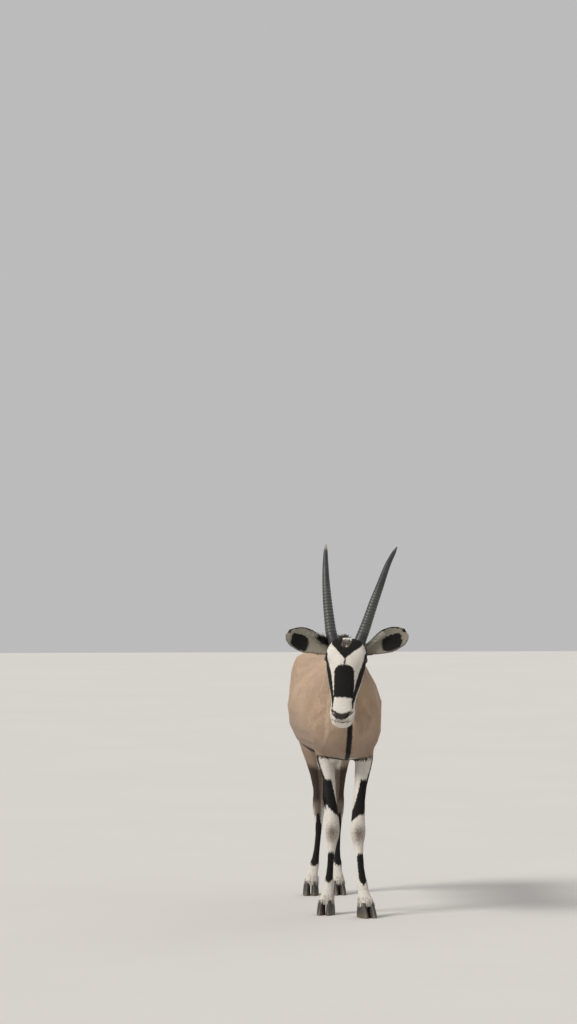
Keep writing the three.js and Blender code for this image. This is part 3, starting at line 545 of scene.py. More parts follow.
def horn_material(colours):
    nodes = Nodes("horn_sheath")
    place = nodes.place()
    grain = nodes.noise(nodes.stretch(place, (260.0, 260.0, 24.0)), 1.0, 4.0)
    patches = nodes.noise(place, 24.0, 3.0)
    # The tips turn pale, partly wear and partly painted highlight.
    tone_shift = nodes.sum(nodes.field("tip"), nodes.ramp(grain, 0.2, 0.8, -0.25, 0.25))
    base = nodes.mix(nodes.ramp(patches, 0.35, 0.75), colours.horn, linear(56, 58, 58))
    # Painted highlight: the rings' ridges are lighter than the rest of the sheath.
    ridge = nodes.mix(nodes.ramp(nodes.field("ridge"), 0.0, 1.0, 0.0, 0.55), base, linear(84, 84, 79))
    return nodes.finish({
        "Base Color": nodes.mix(nodes.ramp(tone_shift, 0.35, 0.8), ridge, colours.horn_tip),
        "Roughness": nodes.ramp(grain, 0.2, 0.8, 0.34, 0.55),
        "Normal": nodes.bump(grain, 0.0006, 0.7),
    })


def hoof_material(colours):
    nodes = Nodes("hoof_horn")
    place = nodes.place()
    rings = nodes.noise(nodes.stretch(place, (14.0, 14.0, 240.0)), 1.0, 2.0)
    streaks = nodes.noise(nodes.stretch(place, (300.0, 300.0, 18.0)), 1.0, 3.0)
    base = nodes.mix(nodes.ramp(streaks, 0.35, 0.8), colours.hoof, linear(84, 76, 68))
    dust = nodes.ramp(nodes.add("SeparateXYZ", {"Vector": place}).outputs["Z"], 0.0, 0.035, 0.35, 0.0)
    return nodes.finish({
        "Base Color": nodes.mix(dust, base, linear(134, 118, 100)),
        "Roughness": nodes.ramp(streaks, 0.2, 0.8, 0.45, 0.7),
        "Normal": nodes.bump(nodes.sum(rings, streaks), 0.0007, 0.6),
    })


def eye_material(colours):
    nodes = Nodes("eye_globe")
    depth = nodes.field("pupil")
    streaks = nodes.noise(nodes.place(), 500.0, 2.0)
    iris = nodes.mix(nodes.ramp(streaks, 0.3, 0.7), colours.iris, linear(26, 15, 9))
    globe = nodes.mix(nodes.ramp(depth, 0.60, 0.68), iris, linear(30, 22, 18))
    return nodes.finish({
        "Base Color": nodes.mix(nodes.ramp(depth, 0.28, 0.34), linear(5, 5, 6), globe),
        "Roughness": 0.12, "Coat Weight": 0.35, "Coat Roughness": 0.03, "IOR": 1.36,
    })


# Marks on the coat. Each returns millimetres inside the mark, below nought outside it
OUTSIDE = -60.0


def both_sides(points, rows):
    """A strip that is written for the left side, on both sides."""
    mirrored = points.copy()
    mirrored[:, 0] = np.abs(points[:, 0])
    return strip(mirrored, rows)


def table(values, rows, column=1):
    """Reads a column of a table of rows at values of its first column."""
    rows = np.asarray(rows, float)
    return np.interp(values, rows[:, 0], rows[:, column])


BLAZE_TOP = -31.0
BLAZE_BOTTOM = -175.0
BLAZE_HALF = 43.5
BLAZE_TOP_ROUND = 34.0
BLAZE_BOTTOM_ROUND = 6.0
# The brow heart by height on the face: height, middle, outer half width and the notch's half width
BROW_HEART = (
    (-6, -2, 0, -40), (4, -2, 11, -40), (12, -2, 21, -30), (29, -1, 36, -14), (41, 1, 49, -3),
    (48, 1, 57, 4), (59, 0, 65, 12), (77, 1, 71, 17), (96, 0, 69, 21), (130, 0, 62, 22),
)
# Lines in the head's frame: x, y, z and half width
EYE_STRIPE = (
    (66, 10, 96, 5), (78, 6, 62, 6), (86, -8, 32, 7), (86, -20, 10, 15), (84, -16, -8, 19),
    (79, -9, -38, 22), (68, -17, -90, 21), (57, -31, -140, 16), (48, -42, -188, 11), (44, -44, -220, 3),
)
JAW_STRIPE = (
    (78, 52, 26, 7), (80, 62, -10, 9), (72, 66, -50, 9), (50, 72, -92, 8), (18, 74, -112, 8),
    (0, 76, -112, 8),
)
# The band under the nose, from nostril to nostril above the upper lip: partly the dark nose pad, partly
# painted shade under the nose.
NOSE_BAND = (
    (37, -46, -230, 5), (31, -52, -244, 10), (14, -58, -257, 14), (-3, -60, -261, 15),
    (-20, -58, -257, 14), (-37, -52, -244, 10), (-43, -46, -230, 5),
)
LIP_SHADE = ((28, -46, -277, 4), (0, -52, -281, 5), (-28, -46, -277, 4))
NOSTRIL = ((17, -55, -262, 2.4), (27, -53, -254, 3.6), (37, -49, -245, 3.8), (44, -42, -236, 2.2))
LIP_LINE = (
    (54, 0, -222, 1.6), (55, -10, -240, 1.9), (50, -27, -262, 2.0), (33, -41, -279, 2.0),
    (0, -47, -286, 2.0),
)
# The thread of black that joins the brow heart and the blaze: its ends and half width
THREAD_LOW = -42
THREAD_HIGH = 4
THREAD_HALF = 3.2


def blaze(head):
    """The black shield down the nose: a long box with a round top, which leans a little to the left."""
    lean = -2.0 + 4.0 * np.clip((BLAZE_TOP - head[:, 2]) / 130, 0, 1)
    middle = (BLAZE_TOP + BLAZE_BOTTOM) / 2
    rounding = np.where(head[:, 2] > middle, BLAZE_TOP_ROUND, BLAZE_BOTTOM_ROUND)
    x = np.abs(head[:, 0] - lean) - (BLAZE_HALF - rounding)
    z = np.abs(head[:, 2] - middle) - ((BLAZE_TOP - BLAZE_BOTTOM) / 2 - rounding)
    outside = np.hypot(np.maximum(x, 0), np.maximum(z, 0))
    inside = np.minimum(np.maximum(x, z), 0)
    return np.minimum(rounding - outside - inside, -4.0 - head[:, 1])


def brow_heart(head):
    """The black heart between the horns, its point towards the nose, with a notch at its top."""
    x, y, z = head.T
    middle, outer, notch = (table(z, BROW_HEART, column) for column in (1, 2, 3))
    aside = np.abs(x - middle)
    heart = np.minimum.reduce(((outer - aside) * 0.75, (aside - notch) * 0.85, z + 6, 118 - z, 60 - y))
    thread = np.minimum(THREAD_HALF - np.abs(x + 1.5), np.minimum(z - THREAD_LOW, THREAD_HIGH - z))
    return np.maximum(heart, np.minimum(thread, -y - 20))


def ear_place(plan, side):
    """Where a point lies on an ear: along it, across it with its lower side above nought, and its row."""
    rows = np.asarray(EAR_PATHS[side], float)
    along, distance, row = along_line(plan, rows)
    way = unit(rows[-1, :3] - rows[0, :3])
    across = unit(np.cross(way, EAR_FACING)) * SIDES[side]
    offset = (plan - row[:, :3]) @ across
    return along, offset / np.maximum(row[:, 3], 1), distance - row[:, 3], row


# The dark patch in the cup: its middle and half size along the ear, and across it
EAR_PATCH = (0.60, 0.17, 0.26, 0.64)
# The ears' black edge: how deep it is and how much deeper at the tip
EAR_RIM = 4.5
EAR_RIM_AT_TIP = 4.0


def ear_marks(plan, ways, fields):
    """A dark inner patch in a grey cup, a thin black edge round the upper tip, and a pale line of hair."""
    middle_along, half_along, middle_across, half_across = EAR_PATCH
    for side in EAR_PATHS:
        along, share, beyond, row = ear_place(plan, side)
        near = (beyond < 9) & (along > 0.04)
        inner = ways @ EAR_FACING > 0.05
        slant = along - middle_along + 0.05 * (share - middle_across)
        reach = (slant / half_along) ** 4 + ((share - middle_across) / half_across) ** 4
        patch = np.where(inner, (1 - reach ** 0.25) * 24, -9.0)
        rim = beyond + EAR_RIM + EAR_RIM_AT_TIP * smooth_step(0.55, 0.9, along)
        rim = np.minimum.reduce((rim, (0.35 - share) * 24, (along - 0.42) * 60))
        rim = np.maximum(rim, np.minimum((along - 0.88) * 170, (-0.1 - share) * 24))
        hem = np.minimum.reduce((beyond + 2.6, (share - 0.3) * 24, (along - 0.22) * 60))
        line = np.minimum(3.5 - np.abs(share + 0.72) * row[:, 3] * 0.8, (0.46 - along) * 60)
        fields["black"] = np.where(near, np.maximum(patch, rim), fields["black"])
        fields["brown"] = np.where(near, hem, fields["brown"])
        fields["pale"] = np.where(near, np.where(inner, line, -12.0), fields["pale"])
        fields["ash"] = np.where(near & inner, 20.0, fields["ash"])
        for name in ("smudge", "bare"):
            fields[name] = np.where(near, -20.0, fields[name])


def lid_margin(head):
    """How far outside the opening of the lids a place near an eye lies; a hundred away from the eyes."""
    offset = head.copy()
    offset[:, 0] = np.abs(head[:, 0])
    offset -= EYE_AT
    corner, upper, deep = offset @ EYE_CORNER, offset @ EYE_UPPER, offset @ EYE_LOOKS
    arch = np.maximum(1 - np.clip(corner / OPENING_HALF_LENGTH, -1, 1) ** 2, 0) ** 0.8
    margin = np.where(upper > 0, upper - OPENING_ABOVE * arch, -upper - OPENING_BELOW * arch)
    margin = np.maximum(margin, np.abs(corner) - OPENING_HALF_LENGTH)
    near = (deep > 4) & (np.linalg.norm(offset, axis=1) < 30)
    return np.where(near, margin, 100.0)


def head_marks(head, ways, fields):
    on_head = (head[:, 2] > -320) & (head[:, 2] < 125) & (head[:, 1] < 118) & (np.abs(head[:, 0]) < 110)
    back = np.where(head[:, 2] > -100, 26 - 0.1 * (head[:, 2] + 100), 26 + 1.4 * (-100 - head[:, 2]))
    pale = back - head[:, 1]
    black = np.maximum.reduce((
        blaze(head), brow_heart(head), both_sides(head, EYE_STRIPE), both_sides(head, JAW_STRIPE),
    ))
    # Bare skin of the nostrils, lips and lid rims, and the band under the nose, which is partly painted
    # shade.
    bare = np.maximum(both_sides(head, NOSTRIL) + 1.0, strip(head, NOSE_BAND))
    bare = np.maximum.reduce((bare, both_sides(head, LIP_LINE), 2.4 - lid_margin(head)))
    fields["pale"] = np.where(on_head, pale, fields["pale"])
    fields["black"] = np.where(on_head, black, fields["black"])
    fields["grey"] = np.where(on_head, 10 - pale, fields["grey"])
    fields["smudge"] = np.where(on_head, strip(head, LIP_SHADE), fields["smudge"])
    fields["bare"] = np.where(on_head, bare, fields["bare"])


# The flank band: y, height of its middle and half its width
FLANK_LINE = (
    (-90, 704, 5), (-20, 701, 5), (40, 702, 6), (90, 706, 10), (160, 710, 15), (300, 716, 20),
    (460, 722, 23), (600, 738, 24), (700, 762, 23), (780, 792, 18), (840, 822, 9), (880, 846, -6),
)
# The stripe along the spine: y and half its width
SPINE_WIDTHS = ((120, 7), (400, 6), (650, 8), (820, 16), (930, 24), (1000, 20), (1060, 16))
# The stripe down the chest: height, x of its middle
CHEST_LINE = ((700, 4), (877, -1), (950, -6), (1008, -10), (1066, -17), (1160, -36))
CHEST_STRIPE_HALF = 11.0
# The dark line along the lower edge of the chest: x, the height of its middle and half its width
CHEST_HEM = (
    (-132, 713, 4.5), (-43, 701, 5), (-8, 693, 5.5), (16, 690, 6), (34, 691, 6), (99, 701, 5),
    (118, 709, 4.5),
)
CHEST_HEM_ENDS = (-133, 123)
# The pale patch on each side of the tail: x, y, z and half width
RUMP_PATCH = ((46, 1008, 990, 20), (60, 985, 880, 34), (50, 960, 780, 30))


def body_marks(plan, ways, fields):
    """Tan above with painted shade of grey-tan lower down, a black band along each flank, a pale belly, and
    dark lines down the chest and the back.
    """
    x, y, z = plan.T
    line = table(y, FLANK_LINE)
    band = table(y, FLANK_LINE, 2) - np.abs(z - line)
    band = np.where((z < 880) & (y < 900) & (y > 60), band, OUTSIDE)
    belly = np.where(y < 830, np.minimum(line - z, 860 - z), OUTSIDE)
    belly = np.where(y > HIND_FRONT, np.minimum(belly, (-0.35 - ways[:, 2]) * 60), belly)
    spine = table(y, SPINE_WIDTHS) - np.abs(x - 1.0)
    spine = np.where((z > 1000) & (y > 60), np.minimum(spine, ways[:, 2] * 30 - 4), OUTSIDE)
    dock = np.where((y > 990) & (z > 1030), 31 - np.abs(x), OUTSIDE)
    middle = table(z, CHEST_LINE)
    chest = np.minimum(CHEST_STRIPE_HALF - np.abs(x - middle), -ways[:, 1] * 40 - 2)
    chest = np.where((y < 30) & (z < 1150), chest, OUTSIDE)
    fields["black"] = np.maximum.reduce((band, chest, spine, dock))
    rump = strip(np.stack((np.abs(x), y, z), 1), RUMP_PATCH) * 0.3
    fields["pale"] = np.maximum(belly, np.where(y > 900, rump - 3, OUTSIDE))
    # Painted shade: the tan coat turns grey-tan lower down the flanks, its edge lowest towards the front and
    # back.
    fields["grey"] = (915 - z - 0.2 * np.abs(y - 400)) * 0.3
    for name in ("brown", "smudge", "bare", "ash"):
        fields[name] = np.full(len(plan), OUTSIDE)


def chest_hem(plan, ways):
    """The dark line that parts the tan chest from the pale legs."""
    x, y, z = plan.T
    line = table(x, CHEST_HEM, 2) - np.abs(z - table(x, CHEST_HEM))
    low, high = CHEST_HEM_ENDS
    line = np.minimum.reduce((line, 14 - ways[:, 1] * 50, x - low, high - x))
    return np.where(y < CHEST_BACK, line, OUTSIDE)


# Forelegs: the black garter's inner edge by height, each garter's lower edge by distance out from the leg's
# middle, and the inner edge of the thin line that runs up from it
GARTER_INNER = ((430, -40), (470, -28), (520, -17), (570, -10), (612, -6))
GARTER_FEET = {
    "fore_right": ((-28, 438), (0, 462), (28, 500)),
    "fore_left": ((-28, 424), (0, 450), (28, 456)),
}
GARTER_LINE = ((606, 18), (640, 27), (700, 34))
GARTER_TOP = 607.0
# The stripe down the front of the cannon: half its width by height
CANNON_STRIPE = ((142, -4), (150, 10), (160, 16.5), (270, 17.5), (281, 9), (285, -4))
HIND_STRIPE = ((132, -4), (142, 13), (156, 21), (250, 22), (300, 19), (330, 13), (372, 8), (392, -4))
# The soft patch on each knee: its height, half its height, half its width
KNEE_PATCH = (368, 30, 21)
# The brown band of the gaskin: its upper and lower edge
GASKIN_BAND = (606, 440)


def foreleg_marks(out, z, ways, foot):
    """Black garter, black cannon stripe and a soft knee patch on a pale leg."""
    front, side = -ways[:, 1], ways[:, 0]
    garter = np.minimum.reduce((out - table(z, GARTER_INNER), z - table(out, foot), GARTER_TOP - z))
    line = np.minimum.reduce((out - table(z, GARTER_LINE), z - 590, 706 - z, (front + 0.45) * 30))
    stripe = np.minimum(table(z, CANNON_STRIPE) - np.abs(out - 3.5), (front - 0.05) * 30)
    black = np.maximum.reduce((garter, line, stripe))
    level, half_height, half_width = KNEE_PATCH
    knee = (1 - np.hypot((z - level) / half_height, (out - 2) / half_width)) * 8
    smudge = np.where(front > 0.2, knee, -20)
    pale = np.where(z < GARTER_TOP, 20, np.minimum(20, (0.86 - side) * 40))
    return black, np.full(len(z), -20.0), smudge, pale


def hindleg_marks(out, z, ways):
    """Dark brown on the gaskin, fading down the front of the hock into the black cannon stripe."""
    front, side = -ways[:, 1], ways[:, 0]
    upper, lower = GASKIN_BAND
    brown = np.minimum((upper + 0.4 * out - z) * 0.4, (z - lower) * 0.4)
    brown = np.minimum.reduce((brown, (side + 0.35) * 26, (front + 0.75) * 26))
    smudge = np.minimum.reduce((600 - z, z - 366, 15 + (z - 366) * 0.08 - np.abs(out - 4)))
    smudge = np.minimum(smudge, (front + 0.1) * 26)
    stripe = np.minimum(table(z, HIND_STRIPE) - np.abs(out - 3.5), (front - 0.02) * 30)
    pale = np.maximum((-0.4 - side) * 40, (410 - z) * 0.25)
    return stripe, brown, smudge, pale


def leg_marks(plan, ways, fields):
    x, y, z = plan.T
    for name, line in LEG_LINES.items():
        rows = np.array(line[::-1], float)
        fore = name.startswith("fore")
        side = 1 if name.endswith("left") else -1
        across = table(z, rows)
        deep = table(z, rows, 2)
        top = table(x, CHEST_HEM) if fore else 740
        on_leg = (z < top) & (x * side > -12) & (np.hypot(x - across, y - deep) < (110 if fore else 150))
        on_leg &= (y < FORELEG_BACK) if fore else (y > HIND_FRONT)
        turned = np.stack((ways[:, 0] * side, ways[:, 1], ways[:, 2]), 1)
        out = (x - across) * side
        marks = foreleg_marks(out, z, turned, GARTER_FEET[name]) if fore else hindleg_marks(out, z, turned)
        for field, values in zip(("black", "brown", "smudge", "pale"), marks):
            fields[field] = np.where(on_leg, values, fields[field])
        fields["grey"] = np.where(on_leg, 30.0, fields["grey"])
    fields["black"] = np.maximum(fields["black"], chest_hem(plan, ways))


# The tail's black: where it begins, how far it reaches aside and up to which height
TAIL_BLACK = (1012, 26, 1078)


def coat_fields(points, ways):
    """All mark fields at points of the frame with their surface directions."""
    plan = to_plan(points)
    head = to_head(points)
    fields = {}
    body_marks(plan, ways, fields)
    leg_marks(plan, ways, fields)
    head_marks(head, ways @ HEAD_TURN, fields)
    ear_marks(plan, ways, fields)
    front, half, top = TAIL_BLACK
    tail = (plan[:, 1] > front) & (plan[:, 2] < top - 2) & (np.abs(plan[:, 0] - 3) < half)
    fields["black"] = np.where(tail, top - plan[:, 2], fields["black"])
    fields["pale"] = np.where(tail, -20, fields["pale"])
    return fields


# The skin
def flatten_mane(mesh):
    """Presses the locks of the copied neck down to the nape, where the hair takes their place."""
    places = coords(mesh)
    plan = to_plan(places)
    nape = np.array(NAPE_LINE, float)
    middle = np.interp(plan[:, 1], nape[:, 1], nape[:, 0])
    top = np.interp(plan[:, 1], nape[:, 1], nape[:, 2]) + 1 - (plan[:, 0] - middle) ** 2 / 124
    over = (plan[:, 1] > nape[0, 1]) & (plan[:, 1] < nape[-1, 1]) & (plan[:, 2] > top)
    over &= (np.abs(plan[:, 0] - middle) < 60) & (to_head(places)[:, 1] > 60)
    plan[over, 2] = top[over]
    set_coords(mesh, from_plan(plan))


def ear_nearness(plan):
    """One on the ears, falling to nought at their roots."""
    shares = [smooth_step(0.0, 0.2, along) * (beyond < 12)
              for along, _, beyond, _ in (ear_place(plan, side) for side in EAR_PATHS)]
    return np.maximum(*shares)


def head_share(points):
    """One on the head, falling to nought on the neck."""
    head = to_head(points)
    return smooth_step(120, 80, head[:, 1]) * (head[:, 2] > -330)


# The share of the first mesh's triangles that the skin keeps
SKIN_KEPT = 0.285


class OBJECT_OT_gemsbok_skin(bpy.types.Operator):
    """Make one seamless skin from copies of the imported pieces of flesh"""
    bl_idname = "object.gemsbok_skin"
    bl_label = "Skin"

    def execute(self, context):
        sizes = context.scene.gemsbok_sizes
        skin = copy_nodes(FLESH + ("eye_left", "eye_right"), "skin")
        mesh = skin.data
        flatten_mane(mesh)
        places = coords(mesh)
        extra = ear_nearness(to_plan(places))[:, None]
        set_coords(mesh, places + normals(mesh) * (sizes.swell * (1 + extra)))
        mesh.remesh_voxel_size = sizes.voxel
        only(skin)
        bpy.ops.object.voxel_remesh()
        keep_largest(skin)
        places = coords(skin.data)
        plan = to_plan(places)
        head = head_share(places)
        ears = ear_nearness(plan)
        legs = smooth_step(760, 640, plan[:, 2]) * (plan[:, 2] < 760)
        tail = ((plan[:, 1] > TAIL_FRONT) & (plan[:, 2] < DOCK_TOP)).astype(float)
        slim = np.maximum.reduce((head, ears, legs, tail))
        weight_group(skin, "everywhere", np.where(ears > 0.1, 0.5, 1.0))
        weight_group(skin, "broad", 1 - slim)
        modify(skin, "SMOOTH", factor=0.5, iterations=10, vertex_group="everywhere")
        modify(skin, "SMOOTH", factor=0.5, iterations=80, vertex_group="broad")
        black = coat_fields(coords(skin.data), normals(skin.data))["black"]
        edges = smooth_step(30, 12, np.abs(black))
        weight_group(skin, "thin", 1 - np.maximum.reduce((head, ears, 0.5 * legs, 0.9 * edges)))
        modify(skin, "DECIMATE", ratio=SKIN_KEPT, vertex_group="thin", vertex_group_factor=1.0)
        skin.vertex_groups.clear()
        refine_face(skin)
        shape_body(skin.data)
        places = coords(skin.data)
        depth = sizes.swell + sizes.coat_depth + (sizes.face_depth - sizes.coat_depth) * head_share(places)
        depth += 0.8 * sizes.swell * ear_nearness(to_plan(places))
        set_coords(skin.data, places - normals(skin.data) * depth[:, None])
        shape_face(skin.data)
        only(skin)
        bpy.ops.object.shade_smooth()
        unwrap(skin)
        for name, values in coat_fields(coords(skin.data), normals(skin.data)).items():
            write_field(skin.data, name, values)
        skin.data.materials.append(coat_material("coat_skin", context.scene.gemsbok_colours))
        finish_piece(skin, FLESH)
        return {"FINISHED"}


def keep_largest(obj):
    """Drops loose scraps, such as bubbles left inside by the remesh."""
    only(obj)
    bpy.ops.object.mode_set(mode="EDIT")
    bpy.ops.mesh.select_all(action="SELECT")
    bpy.ops.mesh.separate(type="LOOSE")
    bpy.ops.object.mode_set(mode="OBJECT")
    parts = sorted(bpy.context.selected_objects, key=lambda part: len(part.data.vertices))
    for scrap in parts[:-1]:
        bpy.data.objects.remove(scrap)
    if parts[-1] != obj:
        raise RuntimeError("the skin's largest part lost its name")


def select_faces(obj, chosen):
    """Selects the faces for which chosen, an array, is true, and goes to edit mode."""
    only(obj)
    mesh = obj.data
    mesh.polygons.foreach_set("select", chosen)
    edges = np.zeros(len(mesh.edges), bool)
    mesh.edges.foreach_set("select", edges)
    vertices = np.zeros(len(mesh.vertices), bool)
    mesh.vertices.foreach_set("select", vertices)
    bpy.ops.object.mode_set(mode="EDIT")
    bpy.ops.mesh.select_mode(type="FACE")


def face_middles(mesh):
    middles = np.empty(len(mesh.polygons) * 3)
    mesh.polygons.foreach_get("center", middles)
    return middles.reshape(-1, 3)


def refine_face(skin):
    """Splits the faces of the muzzle once and those round the eyes twice, for lips, nostrils and lids."""
    muzzle = to_head(face_middles(skin.data))
    select_faces(skin, (muzzle[:, 2] < -205) & (muzzle[:, 2] > -330) & (np.abs(muzzle[:, 0]) < 72))
    bpy.ops.mesh.subdivide(number_cuts=1, smoothness=0.6)
    bpy.ops.object.mode_set(mode="OBJECT")
    for reach in (34, 29):
        head = to_head(face_middles(skin.data))
        head[:, 0] = np.abs(head[:, 0])
        near = np.linalg.norm(head - EYE_AT, axis=1) < reach
        select_faces(skin, near & (head[:, 0] > 55))
        bpy.ops.mesh.subdivide(number_cuts=1, smoothness=0.6)
        bpy.ops.object.mode_set(mode="OBJECT")


# Folds and hollows of the skin. Each is a line of places, how far it reaches and how far it rises, in
# millimetres. Those of the chest are seen from the front, x and z; those of the sides from there, y and z
CHEST_FORMS = (
    (((-109, 1096), (-141, 1047), (-156, 980), (-158, 909), (-150, 850)), 20, 11),
    (((-94, 1070), (-120, 980), (-132, 905), (-122, 840)), 17, -27),
    (((-72, 1000), (-82, 930), (-78, 850)), 22, 9),
    (((62, 1100), (44, 1020), (46, 900), (58, 840)), 18, -25),
    (((92, 1060), (88, 980), (92, 900)), 26, 11),
    (((8, 1000), (10, 930), (12, 870)), 22, 7),
    (((-6, 880), (-2, 800), (2, 730)), 16, -11),
    (((-44, 860), (-52, 790), (-50, 730)), 26, 7),
    (((50, 860), (58, 790), (56, 730)), 26, 7),
)
SIDE_FORMS = (
    (((60, 905), (105, 830), (150, 765)), 20, -13),
    (((150, 900), (178, 830), (176, 770)), 26, 9),
    (((20, 1060), (60, 980), (74, 900)), 16, 8),
    (((150, 1070), (130, 980), (120, 900)), 18, -10),
    (((230, 1040), (246, 940), (236, 850)), 20, -9),
    (((560, 752), (660, 764), (750, 790), (810, 850)), 22, 9),
    (((636, 1100), (680, 1010), (700, 920)), 32, -18),
    (((586, 1090), (604, 1000), (590, 900)), 15, 7),
    (((960, 1010), (952, 900), (930, 800), (905, 700)), 18, -12),
    (((860, 1020), (862, 930), (850, 820)), 16, -7),
    (((790, 1040), (800, 940), (800, 850)), 30, 8),
)
RIBS = tuple((((y + 34, 1040), (y, 940), (y - 14, 830)), 13, 3.4) for y in range(300, 580, 47))
# On the face, in the head's frame, for both sides
FACE_FORMS = (
    (((66, -42, -20), (60, -50, -46)), 9, -3.5),
    (((77, 10, -34), (66, 12, -70), (57, 10, -112)), 11, 3.5),
    (((70, -26, -62), (60, -34, -112)), 13, -3.0),
    (((36, -70, -44), (34, -62, -120), (36, -56, -190)), 9, 1.6),
    (((60, 52, -30), (54, 60, -60)), 22, 3.0),
    (((66, -34, 28), (78, -22, 24)), 8, 3.0),
    (((56, 8, -212), (54, 16, -228)), 4, -2.2),
    (((50, 2, -226), (52, -8, -240)), 7, 2.0),
    (((16, -61, -240), (32, -57, -234)), 2.6, -1.1),
    (((12, -62, -230), (30, -58, -223)), 2.6, -0.9),
    (((22, -44, -286), (38, -36, -270)), 8, 1.8),
    (((0, -64, -228), (0, -62, -276)), 3.5, -1.4),
)


def fall(distance, reach):
    return np.exp(-(distance / reach) ** 2)


def line_distance(points, rows):
    """How far points of any number of coordinates lie from a line of places."""
    rows = np.asarray(rows, float)
    best = np.full(len(points), 1e9)
    for start, end in zip(rows[:-1], rows[1:]):
        along = end - start
        share = np.clip((points - start) @ along / (along @ along), 0, 1)
        best = np.minimum(best, np.linalg.norm(points - start - share[:, None] * along, axis=1))
    return best


def leg_push(plan, ways):
    """Tendons behind the cannons, small knobs on the knees and the hollow before the tendon of the hock."""
    x, y, z = plan.T
    push = np.zeros(len(plan))
    for name, line in LEG_LINES.items():
        rows = np.array(line[::-1], float)
        side = 1 if name.endswith("left") else -1
        out = (x - table(z, rows)) * side
        behind = y - table(z, rows, 2)
        on_leg = (z < 640) & (np.hypot(out, behind) < 75) & (x * side > -12)
        aside = np.abs(ways[:, 0])
        local = np.stack((behind, z), 1)
        form = -2.0 * fall(line_distance(local, ((6, 160), (6, 290))), 6) * aside
        if name.startswith("fore"):
            knobs = np.stack((np.abs(out), z), 1)
            for place, height in (((13, 396), 1.6), ((13, 350), 1.8), ((0, 374), -1.2)):
                form += height * fall(np.linalg.norm(knobs - place, axis=1), 11) * (ways[:, 1] < -0.2)
            form -= 2.5 * fall(line_distance(local, ((-10, 640), (-6, 500))), 9) * aside
        else:
            form -= 6.0 * fall(line_distance(local, ((14, 590), (18, 520), (16, 470))), 13) * aside
            form += 2.5 * fall(line_distance(local, ((-12, 440), (-6, 380))), 12) * aside
        push += np.where(on_leg, form, 0)
    return push


def shape_body(mesh):
    """Presses in the folds and raises the ridges of the skin along the surface's own direction."""
    places = coords(mesh)
    ways = normals(mesh)
    plan = to_plan(places)
    x, y, z = plan.T
    push = leg_push(plan, ways)
    ahead = np.clip(-ways[:, 1] * 1.6, 0, 1) * (y < CHEST_BACK) * (z > 690)
    ahead *= smooth_step(80, 125, to_head(places)[:, 1])
    aside = np.clip(np.abs(ways[:, 0]) * 1.5 - 0.3, 0, 1) * (z > 640) * (y > -20)
    for line, reach, height in CHEST_FORMS:
        push += height * fall(line_distance(np.stack((x, z), 1), line), reach) * ahead
    for line, reach, height in SIDE_FORMS + RIBS:
        push += height * fall(line_distance(np.stack((y, z), 1), line), reach) * aside
    head = to_head(places)
    on_face = head_share(places) * (1 - ear_nearness(plan))
    head[:, 0] = np.abs(head[:, 0])
    for line, reach, height in FACE_FORMS:
        push += height * fall(line_distance(head, line), reach) * on_face
    set_coords(mesh, places + ways * (push * MM)[:, None])


# How deep the nostrils and the mouth's line sink, and how high the nostrils' wings rise
NOSTRIL_DEPTH = 7.0
LIP_DEPTH = 2.4
NOSTRIL_WING = 1.6


def shape_face(mesh):
    """Opens the lids over the eyeball, and sinks the nostrils and the line of the mouth."""
    places = coords(mesh)
    head = to_head(places)
    ways = normals(mesh) @ HEAD_TURN
    margin = lid_margin(head)
    mirror = np.where(head[:, :1] < 0, (-1, 1, 1), (1, 1, 1))
    offset = head * mirror - EYE_AT
    radius = np.linalg.norm(offset, axis=1)
    rim = LID_RADIUS + LID_FOLD * fall(margin - LID_FOLD_AT, 1.6)
    rounding = np.sqrt(np.clip(margin / LID_ROUND, 0, 1))
    wanted = np.where(margin < 0, LID_INSIDE, LID_EDGE + (rim - LID_EDGE) * rounding)
    target = np.where(margin < LID_ROUND, wanted, np.maximum(radius, rim))
    fade = smooth_step(9, 5, margin)
    moved = EYE_AT + offset * (1 + fade * (target / np.maximum(radius, 1) - 1))[:, None]
    head = np.where((margin < 50)[:, None], moved * mirror, head)
    nostril = both_sides(head, NOSTRIL)
    lips = both_sides(head, LIP_LINE)
    sink = NOSTRIL_DEPTH * smooth_step(-1.8, 2.0, nostril) + LIP_DEPTH * smooth_step(-2.2, 1.0, lips)
    sink -= NOSTRIL_WING * fall(nostril + 5, 2.5)
    head -= ways * sink[:, None]
    set_coords(mesh, from_head(head))


def unwrap(obj):
    """An unwrap of the skin's own shape, which its tufts also use."""
    only(obj)
    obj.data.uv_layers.new(name=UV_NAME)
    bpy.ops.object.mode_set(mode="EDIT")
    bpy.ops.mesh.select_all(action="SELECT")
    bpy.ops.uv.smart_project(angle_limit=math.radians(66), island_margin=0.002)
    bpy.ops.object.mode_set(mode="OBJECT")


# The coat. Each kind of fur: spacing, length and width of its tufts and how high their tips lie, all in
# millimetres
FUR = {
    "torso": (5.5, 17.0, 2.8, 0.9),
    "neck": (5.0, 19.0, 2.5, 1.1),
    "leg": (4.3, 12.0, 2.0, 0.8),
    "foot": (3.6, 12.0, 1.9, 1.0),
    "tail": (4.2, 14.0, 2.2, 1.0),
    "ear": (3.4, 9.0, 1.5, 0.7),
    "face": (3.0, 6.5, 1.4, 0.5),
}
TUFT_JITTER = 0.13
TUFT_SUNK = 0.4
# Size of a tuft's patch on the unwrap
PATCH = 0.0028


